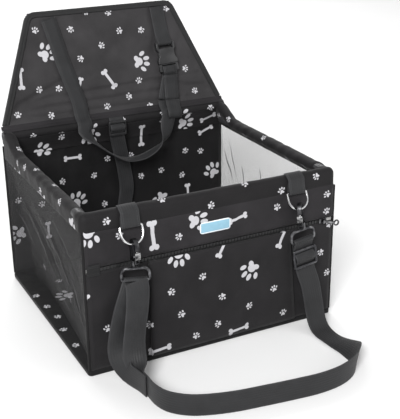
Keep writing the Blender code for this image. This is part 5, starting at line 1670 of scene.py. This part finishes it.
@dataclass
class BackFlap:
    """Padded flap with a bound edge."""

    length: float = 0.180
    base_half: float = 0.198
    top_half: float = 0.127
    corner: float = 0.018
    depth: float = 0.0066
    cell: float = 0.0031
    bind_start: float = 0.008
    tape_middle: float = 0.0048
    hinge_cells: int = 40
    folds: Sequence[Fold] = (
        (0.010, 0.046, 2, 0.150, 0.0030, -0.0034), (0.000, 0.029, 1, 0.185, 0.0026, -0.0030),
        (0.000, 0.013, 0, 0.190, 0.0026, -0.0030), (-0.130, 0.050, 22, 0.060, 0.0040, -0.0030),
        (-0.150, 0.034, 14, 0.050, 0.0040, -0.0024), (-0.080, 0.060, 12, 0.050, 0.0045, -0.0018),
        (0.130, 0.036, -14, 0.050, 0.0045, -0.0028), (0.150, 0.024, -8, 0.040, 0.0040, -0.0022),
        (0.090, 0.120, 70, 0.050, 0.0070, -0.0014), (-0.070, 0.130, 100, 0.045, 0.0070, -0.0014),
        (0.010, 0.110, 40, 0.060, 0.0080, -0.0012), (0.120, 0.090, 60, 0.040, 0.0060, -0.0014),
    )
    lips: Sequence[tuple[float, float]] = (
        (-0.0080, 0.0004), (-0.0077, 0.0012), (-0.0062, 0.0016), (-0.0045, 0.0009), (-0.0030, 0.0015),
        (-0.0008, 0.0017), (0.0009, 0.0010), (0.0015, -0.0006), (0.0015, -0.0058), (0.0009, -0.0075),
        (-0.0010, -0.0081), (-0.0070, -0.0081), (-0.0080, -0.0077), (-0.0080, -0.0070), (0.0002, -0.0070),
        (0.0002, 0.0003),
    )

    def outline(self, grow: float, start: float = 0.0) -> list[tuple[float, float]]:
        """Trapezium with round top corners, grown outward all round but at its foot.

        Args:
            grow: How far it grows.
            start: Height at which it starts.

        Returns:
            Points (across, up), up the right side and down the left.
        """
        run = self.base_half - self.top_half
        edge = math.hypot(run, self.length)

        def half_at(up: float) -> float:
            return self.base_half - run * up / self.length + grow * edge / self.length

        centre_up = self.length - self.corner
        centre = (half_at(centre_up) - (self.corner + grow) * edge / self.length, centre_up)
        lean = math.atan2(run, self.length)
        half = [(half_at(start), start), *arc(centre, self.corner + grow, lean, math.pi / 2, 8)]
        return half + [(-x, y) for x, y in reversed(half)]

    def panel(self) -> None:
        """Make the padded body of the flap: cut from a grid, slack, with its folds."""
        across, up = round(0.4 / self.cell), round(self.length / self.cell)
        shape = sheet_grid(0.4, self.length, across, up)
        bmesh.ops.translate(shape, verts=shape.verts, vec=(-0.2, 0, 0))
        rim = self.outline(-0.0002)
        for (x0, y0), (x1, y1) in zip(rim, rim[1:]):
            if math.hypot(x1 - x0, y1 - y0) < 0.0005:
                continue
            bmesh.ops.bisect_plane(shape, geom=shape.verts[:] + shape.edges[:] + shape.faces[:], dist=0.00001,
                                   plane_co=(x0, y0, 0), plane_no=(y1 - y0, x0 - x1, 0), clear_outer=True)
        bmesh.ops.remove_doubles(shape, verts=shape.verts, dist=0.0008)
        lay_uv(shape, lambda co: (co.x, co.y))
        for vert in shape.verts:
            inside = self.inside(vert.co.x, vert.co.y)
            vert.co.z = -0.0008 * ease(inside, 0.007, 0.020)
        bmesh.ops.transform(shape, matrix=FLAP, verts=shape.verts)
        way = FLAP.col[2].to_3d()
        back = FLAP.inverted()
        slacken(shape, lambda co: way, lambda co: self.inside(*(back @ co).to_2d()) < 0.0075, 0.016, 0.0007, 0.0013, 18)
        for vert in shape.verts:
            local = back @ vert.co
            free = ease(self.inside(local.x, local.y), 0.004, 0.014)
            vert.co += way * folded(local.x, local.y, self.folds) * free
            high = (back @ vert.co).z
            if high > -0.00005 and free > 0:
                vert.co -= way * (high + 0.00005)
        # The flap's cloth is the lit copy, with painted light.
        piece = add_piece("flap_pad", shape, ClothFinish(LIT_CLOTH, paws=FLAP_PAWS, bones=FLAP_BONES), "back_flap",
                          ("flap_panel", "flap_board", "flap_back"), recalc=False)
        thicken(piece, self.depth, -1.0)

    def inside(self, x: float, up: float) -> float:
        """How far a point is inside the flap's edge.

        Args:
            x: Place across.
            up: Place up from the hinge.

        Returns:
            The distance.
        """
        run = self.base_half - self.top_half
        edge = math.hypot(run, self.length)
        side = (self.base_half - run * up / self.length - abs(x)) * self.length / edge
        return min(side, self.length - up, up + 0.001)

    def binding(self) -> None:
        """Make the folded tape that is sewn round the edge."""
        counts = len(self.outline(0.0, self.bind_start))
        lines = [self.outline(grow, self.bind_start) for grow, _ in self.lips]
        rows = []
        for i in range(counts - 1):
            start = Vector(lines[7][i])
            pieces = max(1, round((Vector(lines[7][i + 1]) - start).length / 0.006))
            for k in range(pieces + (1 if i == counts - 2 else 0)):
                t = k / pieces
                row = []
                for line, (_, out) in zip(lines, self.lips):
                    spot = Vector(line[i]).lerp(Vector(line[i + 1]), t)
                    wave = 0.00018 * math.sin((spot.x * 2.1 + spot.y) * 330) if out > 0.0005 else 0.0
                    row.append(on_flap(spot.x, spot.y, out + wave))
                rows.append(row)
        shape = sweep(rows, closed=True, caps=True)
        cross_uv(shape, self.tape_middle)
        piece = add_piece("flap_tape", shape, BINDING, "back_flap", ("flap_binding",))
        sharp_from_angle(piece, 60)

    def hinge_cloth(self, name: str, line: Sequence[tuple[float, float]]) -> None:
        """Make one strip of cloth that joins the flap to the back sleeve.

        Args:
            name: Piece name.
            line: The strip's section from the sleeve to the flap, as (back, up).
        """
        rows = [[Vector((self.base_half * (2 * i / self.hinge_cells - 1), y, z)) for y, z in line]
                for i in range(self.hinge_cells + 1)]
        shape = sweep(rows)
        lay_uv(shape, lambda co: (co.x, co.z - FLAP_HINGE.z))
        # The hinge strips take the copy of the cloth with painted light.
        piece = add_piece(name, shape, ClothFinish(PAINTED_LIGHT_CLOTH), "", (), recalc=False)
        thicken(piece, 0.0004, 0.0)
        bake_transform(piece)

    def build(self) -> None:
        """Make the flap's pieces."""
        self.panel()
        self.binding()
        for name, angles, out in (("hinge_cloth_front", (124, 92), 0.0001),
                                  ("hinge_cloth_back", (48, 72), -self.depth - 0.0002)):
            spots = arc((RIM_Y, BACK_RIM_Z), SLEEVE + 0.0002, *map(math.radians, angles), 5)
            spots += [tuple(on_flap(0, up, out).yz) for up in (0.0015, 0.0040, 0.0065)]
            self.hinge_cloth(name, spots)


@dataclass
class TriggerClip:
    """D-ring, trigger hook and swivel eye of one strap end."""

    prefix: str
    up: Vector
    bar_axis: Vector
    swivel: str = "swivel"
    ringed: bool = True
    reach: float = 0.0500

    def bar_centre(self) -> Vector:
        """Middle of the eye's bar, from the place of the swivel's joint."""
        joints = frame["record"]["behaviour"]["joints"]
        pivot = Vector(next(j["pos_m"] for j in joints if j["name"] == self.prefix + "_swivel_turn"))
        return pivot - self.up * self.reach

    def build(self) -> None:
        """Make rounded, polished copies of the clip's solids."""
        solids = [("hook_cast", "hook", BLACK_METAL, "clip", "black_metal", 0.0004),
                  ("gate_steel", "gate", GATE_METAL, "trigger", "steel", 0.00025),
                  ("eye_ring", "eye", EYE_METAL, self.swivel, "black_metal", 0.0)]
        if self.ringed:
            solids.append(("ring_wire", "d_ring", BRIGHT_STEEL, "ring", "steel", 0.0))
        for name, node, finish, body, slot, edge in solids:
            stem = self.prefix + "_"
            polished(stem + name, stem + node, finish, stem + body, edge)


@dataclass
class FrontStrap:
    """Strap between the two front clips, its tabs and its tri-glide."""

    step: float = 0.006
    loop: float = 0.0033
    tab_width: float = 0.027
    tabs: Sequence[tuple[str, float]] = (("left_tab", -0.131), ("right_tab", 0.1285))
    ring_height: float = 0.2155
    ring_wire: float = 0.0015
    left_turn: float = math.radians(-18)
    right_lean: float = math.radians(8)
    glide_half: float = 0.0016
    glide_bar: float = 0.0020
    glide_end: float = 0.0155
    glide_drop: float = 0.0282
    bar_step: float = 0.0015
    over_spots: tuple[float, float] = (0.0088, 0.0074)
    run_back: Sequence[Station] = (
        ((-0.1500, -0.2620, 0.0168), (0, 0, 1)),
        ((-0.1530, -0.2430, 0.0168), (0, 0, 1)),
        ((-0.1575, -0.2260, 0.0172), (0.10, -0.10, 1)),
        ((-0.1610, -0.2130, 0.0230), (0.40, -0.20, 0.85)),
        ((-0.1625, -0.2025, 0.0420), (0.85, -0.10, 0.50)),
        ((-0.1585, -0.1985, 0.0680), (1, 0, 0.10)),
        ((-0.1500, -0.1965, 0.0970), (1, 0, 0.25)),
        ((-0.1400, -0.1945, 0.1180), (1, -0.15, 0.35)),
    )
    run: Sequence[Station] = (
        ((-0.1305, -0.1990, 0.1300), (1, -0.30, 0)),
        ((-0.1330, -0.2020, 0.1050), (1, -0.15, -0.15)),
        ((-0.1390, -0.2070, 0.0780), (1, 0, -0.15)),
        ((-0.1445, -0.2130, 0.0560), (1, 0, 0.10)),
        ((-0.1475, -0.2210, 0.0380), (0.75, 0, 0.65)),
        ((-0.1475, -0.2320, 0.0235), (0.30, 0, 0.95)),
        ((-0.1470, -0.2450, 0.0170), (0, 0, 1)),
        ((-0.1472, -0.2640, 0.0165), (0, 0, 1)),
        ((-0.1465, -0.2840, 0.0165), (0, 0, 1)),
        ((-0.1400, -0.3040, 0.0165), (0, 0, 1)),
        ((-0.1250, -0.3210, 0.0165), (0, 0, 1)),
        ((-0.1030, -0.3340, 0.0165), (0, 0, 1)),
        ((-0.0640, -0.3460, 0.0165), (0, 0, 1)),
        ((-0.0200, -0.3530, 0.0165), (0, 0, 1)),
        ((0.0250, -0.3590, 0.0165), (0, 0, 1)),
        ((0.0600, -0.3620, 0.0165), (0, 0, 1)),
        ((0.0930, -0.3590, 0.0165), (0, 0, 1)),
        ((0.1200, -0.3490, 0.0165), (0.10, 0.02, 1)),
        ((0.1395, -0.3330, 0.0158), (0.25, 0.05, 0.96)),
        ((0.1510, -0.3130, 0.0125), (0.60, 0.08, 0.78)),
        ((0.1560, -0.2930, 0.0078), (0.92, 0.08, 0.40)),
        ((0.1555, -0.2730, 0.0040), (1, 0.04, 0.16)),
        ((0.1540, -0.2530, 0.0020), (1, 0, 0)),
        ((0.1530, -0.2340, 0.0022), (1, 0, 0)),
        ((0.1530, -0.2190, 0.0070), (1, 0, 0)),
        ((0.1535, -0.2080, 0.0200), (1, 0, 0)),
        ((0.1530, -0.2010, 0.0420), (1, 0, 0.10)),
        ((0.1490, -0.1970, 0.0700), (1, 0, 0.14)),
    )

    def clips(self) -> tuple[TriggerClip, TriggerClip]:
        """Left and right clips, turned as they hang.

        Returns:
            The two clips.
        """
        left = TriggerClip("left", Z, Vector((math.cos(self.left_turn), math.sin(self.left_turn), 0)))
        c, s = math.cos(self.right_lean), math.sin(self.right_lean)
        return left, TriggerClip("right", Vector((-s, 0, c)), Vector((c, 0, s)))

    def tab(self, name: str, x: float) -> None:
        """Make one tab, sewn over the sleeve and folded round the ring's bar.

        Args:
            name: Node that it replaces.
            x: Its place across.
        """
        loop = self.ring_wire + FIT + WEBBING / 2
        inner = SLEEVE + FIT + WEBBING / 2
        outer = inner + WEBBING + FIT
        bar = (inner + loop, self.ring_height - RIM_Z)
        path = [(inner, 0.0), (inner, bar[1] + loop)]
        path += arc(bar, loop, math.pi, 2 * math.pi, 10)
        path += [(bar[0] + loop, bar[1] + loop), ((bar[0] + loop + outer) / 2, bar[1] / 2)]
        path += arc((0, 0), outer, math.radians(5), math.radians(25), 4)
        path += arc((0, 0), inner, math.radians(55), math.radians(100), 6)
        webbing(name + "_web", [(Vector((x, -RIM_Y - p, RIM_Z + q)), X) for p, q in path], "seat", (name,),
                WebbingFinish(width=self.tab_width, stitch=True), self.tab_width)

    def strapping(self, name: str, stations: Stations, body: str = "seat",
                  replaced: Sequence[str] = ()) -> bpy.types.Object:
        """Make one run of the wide strap."""
        return webbing(name, stations, body, replaced, STRAPPING, STRAP_WIDTH, STRAP, 0.0004)

    def build(self) -> None:
        """Make the strap as its long run and its short runs round the bars, with the clips and tabs."""
        left, right = self.clips()
        left_bar, right_bar = left.bar_centre(), right.bar_centre()
        across, behind = right.bar_axis, Z.cross(left.bar_axis)
        depth = self.loop - STRAP / 2 - FIT - self.glide_half
        glide = frame_of(across, right.up, right_bar - right.up * self.glide_drop - Y * depth)
        polished("adjuster", "tri_glide", EYE_METAL, "strap_adjuster", 0.0004)
        off, bar, end = self.glide_half + FIT + STRAP / 2, self.glide_bar + FIT, self.glide_end
        low, (far, near) = STRAP + FIT - off, self.over_spots
        over = ((-far, low), (-near, low), (-bar, off), (bar, off), (near, low), (far, low))
        self.strapping("front_strap_over_bar", smooth_run(placed(glide, over, across), self.bar_step),
                       "strap_adjuster")
        start = left_bar - behind * self.loop
        up_run = placed(glide, [(up, -off) for up in (-end - 0.004, -bar, bar, end + 0.002)], across)
        main = smooth_run([(start, left.bar_axis), *self.run, *up_run, (right_bar - Y * self.loop, across)], self.step)
        strap = self.strapping("front_strap_run", main, "seat", ("front_strap",))
        sewn = smooth_run([*self.run_back, (left_bar + behind * self.loop, left.bar_axis)], self.step)[:-1]
        self.strapping("front_strap_left_end", sewn + round_bar(left_bar, left.bar_axis, behind, Z, self.loop))
        layer = off + STRAP + 3 * FIT
        ends = placed(glide, [(up, -layer) for up in (end + 0.004, end - 0.002, 0.002)], across)
        tail = round_bar(right_bar, across, -Y, right.up, self.loop)[:-1]
        tail += smooth_run([(right_bar + Y * self.loop, across), *ends], self.step / 2)
        self.strapping("front_strap_right_end", tail)
        for name, x in self.tabs:
            self.tab(name, x)
        left.build()
        right.build()


@dataclass
class Leash:
    """Short leash inside the seat, with its slider and hook."""

    step: float = 0.005
    bar_step: float = 0.0015
    end: Vector = field(default_factory=lambda: Vector((0.0015, 0.1668, 0.0880)))
    eye_wire: float = 0.0022 * 0.85
    slider_x: float = -0.008
    slider_drop: float = 0.0092
    slider_half: float = 0.0130
    slider_bar: float = 0.0020
    slider_depth: float = 0.0015
    over_spots: tuple[float, float] = (0.0074, 0.0062)
    run: Sequence[Station] = (
        ((-0.0045, 0.1620, 0.2100), (1, 0, 0)),
        ((0.0030, 0.1652, 0.1740), (1, 0.10, 0)),
        ((0.0080, 0.1659, 0.1320), (1, -0.05, 0)),
        ((0.0040, 0.1659, 0.1050), (1, 0, 0)),
    )

    def build(self) -> None:
        """Make the leash strap and its hardware."""
        touch = SLEEVE + FIT + WEBBING / 2
        off = self.slider_depth + FIT + WEBBING / 2
        place = frame_of(X, Z, Vector((self.slider_x, RIM_Y - touch - off, BACK_RIM_Z - self.slider_drop)))
        bar, half = self.slider_bar + FIT, self.slider_half
        level, (far, near) = WEBBING + FIT - off, self.over_spots
        over = ((far, level), (near, level), (bar, off), (-bar, off), (-near, level), (-far, level))
        webbing("leash_over_bar", smooth_run(placed(place, over, X), self.bar_step), "leash_adjuster")
        main = [(Vector((self.slider_x, RIM_Y + y, BACK_RIM_Z + z)), X)
                for y, z in arc((0, 0), touch, math.radians(130), math.radians(170), 4)]
        main += placed(place, [(up, -off) for up in (half - 0.004, bar, -bar, -half)], X)
        loop = self.eye_wire + FIT + WEBBING / 2
        main += [*self.run, (self.end - Y * loop, X)]
        gap = Y * (WEBBING + FIT)
        back = [(self.end + Y * loop, X)] + [(Vector(at) + gap, across) for at, across in reversed(self.run)]
        layer = off + WEBBING + FIT
        back += placed(place, ((-half, -layer - FIT), (-0.008, -layer), (0, -layer)), X)
        stations = smooth_run(main, self.step)[:-1]
        stations += round_bar(self.end, X, -Y, -Z, loop)[:-1]
        stations += smooth_run(back, self.step)
        webbing("leash_web", stations, "seat", ("leash_strap",))
        polished("leash_adjuster_frame", "leash_slider", PLASTIC, "leash_adjuster", 0.0004)
        TriggerClip("leash", Z, X, "swing", False).build()


@dataclass
class HeadrestStrap:
    """Strap over the flap that loops into the seat, and its side-release buckle."""

    step: float = 0.006
    buckle_x: float = 0.104
    buckle_up: float = 0.067
    tilt: float = math.radians(3)
    loop_run: Sequence[Station] = (
        ((-0.0660, 0.1560, 0.2440), (1, 0.20, 0)),
        ((-0.0600, 0.1525, 0.2350), (0.80, 0.60, 0)),
        ((-0.0510, 0.1495, 0.2250), (0.30, 0.95, 0)),
        ((-0.0280, 0.1475, 0.2040), (0, 1, 0)),
        ((-0.0010, 0.1475, 0.1880), (0, 1, 0)),
        ((0.0270, 0.1475, 0.1860), (0, 1, 0)),
        ((0.0490, 0.1475, 0.1930), (0.15, 1, 0)),
        ((0.0670, 0.1490, 0.2040), (0.50, 0.85, 0)),
        ((0.0780, 0.1520, 0.2180), (0.85, 0.50, 0)),
        ((0.0830, 0.1555, 0.2350), (1, 0.10, 0)),
    )
    left_run: Sequence[tuple[float, float]] = (
        (-0.0940, 0.1683), (-0.0870, 0.1322), (-0.0810, 0.0979), (-0.0730, 0.0635), (-0.0650, 0.0309),
        (-0.0635, 0.0069),
    )
    right_run: Sequence[tuple[float, float]] = ((0.0885, 0.0060), (0.0890, 0.0120))
    rise_run: Sequence[tuple[float, float]] = ((0.0890, 0.0121), (0.0960, 0.0320))
    fall_run: Sequence[tuple[float, float]] = ((0.1040, 0.0400), (0.1021, 0.0160), (0.1018, 0.0121))
    base_low: float = 0.0130
    base_thick: float = 0.0045
    bar_half: float = 0.0015
    front_out: float = 0.0018
    socket_thick: float = 0.0085
    socket_foot: float = 0.0065
    socket_length: float = 0.037
    socket_bar: float = 0.0020
    flap_length: float = 0.180
    seam: float = 0.008
    travel: float = 0.030
    tail_over: Sequence[tuple[float, float]] = ((0.1000, 115), (0.0995, 150), (0.0990, 185))

    def over_sleeve(self, x: float, degrees: float) -> Vector:
        """Place of webbing that lies on the back sleeve.

        Args:
            x: Place across.
            degrees: Angle round the sleeve, from straight back.

        Returns:
            The place.
        """
        angle = math.radians(degrees)
        radius = SLEEVE + 2 * FIT + WEBBING / 2
        return Vector((x, RIM_Y + radius * math.cos(angle), BACK_RIM_Z + radius * math.sin(angle)))

    def buckle_frame(self) -> Matrix:
        """Frame of the buckle, from the middle of its male base."""
        out = self.socket_thick / 2 + FIT
        return FLAP @ Matrix.Translation((self.buckle_x, self.buckle_up, out)) @ Matrix.Rotation(self.tilt, 4, "Z")

    def long_strap(self) -> None:
        """Make the strap from the flap's left top to its buckle and back down in front."""
        low = FIT + WEBBING / 2
        left = [(on_flap(x, up, low), X) for x, up in self.left_run]
        left += [(self.over_sleeve(self.left_run[-1][0], a), X) for a in (100, 125, 150, 172)]
        place = self.buckle_frame()
        off = self.base_thick / 2 + FIT + WEBBING / 2
        across = place.col[0].to_3d()
        right = [(self.over_sleeve(self.right_run[0][0], a), X) for a in (172, 150, 125, 100)]
        right += [(on_flap(x, up, low + FIT), X) for x, up in self.right_run]
        rise = [(on_flap(x, up, low + FIT), X) for x, up in self.rise_run]
        rise += placed(place, [(-self.base_low, -off)], across)
        bar, turn, front = self.bar_half, WEBBING / 2 + FIT, self.front_out
        wrap_at = ((-self.base_low + FIT, -off), (-bar, -off), (bar, -off), (bar + turn, -off + turn),
                   (bar + turn, off - turn), (bar, off), (-bar, off), (-0.0065, off), (-self.base_low + FIT, front))
        wrap = placed(place, wrap_at, across)
        fall = placed(place, [(-self.base_low, front)], across)
        fall += [(on_flap(x, up, 3 * low), X) for x, up in self.fall_run]
        lifts = ((-WEBBING - FIT, FIT), (-2 * WEBBING, 0), (-2 * WEBBING, -4 * WEBBING))
        tail = [(on_flap(self.fall_run[-1][0], self.right_run[-1][1], 3 * low), X)]
        tail += [(self.over_sleeve(x, a) + Vector((0, *lift)), X) for (x, a), lift in zip(self.tail_over, lifts)]
        self.web("headrest_web", [*left, *self.loop_run, *right], ("headrest_strap",), "")
        self.web("headrest_tail", tail, (), "")
        self.web("headrest_turn", wrap, (), "buckle_release")
        for name, run in (("headrest_rise", rise), ("headrest_fall", fall)):
            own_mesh(self.web(name, run, (), "back_flap"))

    def web(self, name: str, run: Stations, replaced: Sequence[str], body: str) -> bpy.types.Object:
        """Make one run of webbing.

        Args:
            name: Piece name.
            run: Places that it passes.
            replaced: Nodes that it replaces.
            body: Body that it rides on; without one it bends across the flap's hinge.

        Returns:
            The new piece.
        """
        piece = webbing(name, smooth_run(run, self.step), body, replaced, edge=0.0)
        if not body:
            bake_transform(piece)
        return piece

    def short_strap(self) -> None:
        """Make the short strap from the flap's top edge round the socket's bar."""
        place = self.buckle_frame()
        bar_up = self.socket_foot + FIT + self.socket_length - self.socket_bar
        loop = math.hypot(self.socket_bar, self.bar_half) + FIT + WEBBING / 2
        high = place.inverted() @ on_flap(self.buckle_x, self.flap_length - self.seam - FIT, 0)
        over = WEBBING + FIT - loop
        spots = [(high.y, over), (bar_up + 7 * loop, over), (bar_up + 5 * loop, over),
                 (bar_up + loop, loop * math.cos(math.radians(45)))]
        spots += [(bar_up + loop * math.sin(a), loop * math.cos(a))
                  for a in map(math.radians, (15, 0, -45, -90, -135, 180))]
        spots += [(bar_up + 2 * loop, -loop), (bar_up + 4 * loop, -loop)]
        stations = smooth_run(placed(place, spots, place.col[0].to_3d()), self.step)
        webbing("short_web", stations, "back_flap", ("short_strap",))

    def build(self) -> None:
        """Make both straps and the buckle."""
        self.long_strap()
        self.short_strap()
        polished("buckle_socket", "buckle_female", PLASTIC, "back_flap", 0.0004)
        polished("buckle_base", "buckle_male", PLASTIC, "buckle_release", 0.0003)
        polished("buckle_arms", "buckle_prongs", PLASTIC, "buckle_release", 0.0002)


@dataclass
class Studio:
    """Floor, lights and camera."""

    azimuth: float = math.radians(-26.8752)
    elevation: float = math.radians(21.9241)
    distance: float = 1.4886
    lens: float = 79.56
    sensor: float = 36
    nearest: float = 0.05
    floor_half: float = 12.0
    floor_z: float = -0.0002
    lit_spot: Vector = field(default_factory=lambda: Vector((0, -0.05, 0.12)))
    roll: float = math.radians(-0.6062)
    target: Vector = field(default_factory=lambda: Vector((0.0654, 0, 0.1357)))

    def camera(self) -> None:
        """Put the camera where the photograph was taken."""
        back = Vector((math.sin(self.azimuth) * math.cos(self.elevation),
                       -math.cos(self.azimuth) * math.cos(self.elevation), math.sin(self.elevation)))
        right = (-back).cross(Z).normalized()
        up = right.cross(-back).normalized()
        c, s = math.cos(self.roll), math.sin(self.roll)
        right, up = c * right + s * up, -s * right + c * up
        lens = bpy.data.cameras.new("camera")
        lens.lens = self.lens
        lens.sensor_width = self.sensor
        lens.sensor_fit = "AUTO"
        lens.clip_start = self.nearest
        holder = bpy.data.objects.new("camera", lens)
        matrix = Matrix((right, up, back)).transposed().to_4x4()
        matrix.translation = self.target + back * self.distance
        holder.matrix_world = matrix
        bpy.context.scene.collection.objects.link(holder)
        bpy.context.scene.camera = holder

    def floor(self) -> None:
        """Make the pale floor."""
        shape = bmesh.new()
        bmesh.ops.create_grid(shape, x_segments=8, y_segments=8, size=self.floor_half,
                              matrix=Matrix.Translation((0, 0, self.floor_z)))
        mesh = bpy.data.meshes.new("floor")
        shape.to_mesh(mesh)
        shape.free()
        mesh.materials.append(FloorFinish().make("floor_finish"))
        plane = bpy.data.objects.new("floor", mesh)
        bpy.context.scene.collection.objects.link(plane)

    def light(self, name: str, place: Sequence[float], size: float, power: float) -> None:
        """Add one soft light that points at the seat.

        Args:
            name: Light name.
            place: Where it hangs.
            size: Its width.
            power: Its power in watts.
        """
        lamp = bpy.data.lights.new(name, "AREA")
        lamp.shape = "SQUARE"
        lamp.size = size
        lamp.energy = power
        holder = bpy.data.objects.new(name, lamp)
        holder.location = place
        holder.rotation_euler = (self.lit_spot - Vector(place)).to_track_quat("-Z", "Y").to_euler()
        bpy.context.scene.collection.objects.link(holder)

    def build(self) -> None:
        """Make the studio."""
        self.camera()
        self.floor()
        self.light("key", (-2.4, -2.9, 2.8), 1.6, 230)
        self.light("fill", (2.6, -2.2, 1.4), 2.0, 25)
        self.light("rim_light", (0.6, 3.0, 2.6), 2.4, 80)
        world = bpy.data.worlds.new("studio")
        world.use_nodes = True
        backdrop = world.node_tree.nodes["Background"]
        backdrop.inputs["Color"].default_value = (1, 1, 1, 1)
        backdrop.inputs["Strength"].default_value = 0.50
        bpy.context.scene.world = world
        bpy.context.scene.view_settings.view_transform = "Standard"


def main() -> None:
    """Build every sub-assembly in order."""
    logging.basicConfig(level=logging.INFO, format="%(name)s: %(message)s")
    Studio().build()
    FrontStrap().build()
    Leash().build()
    HeadrestStrap().build()
    RimCover().build()
    Walls().build()
    Pocket().build()
    for side in (-1, 1):
        SideNet(side).build()
    BackFlap().build()
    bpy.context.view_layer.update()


if __name__ == "__main__":
    main()
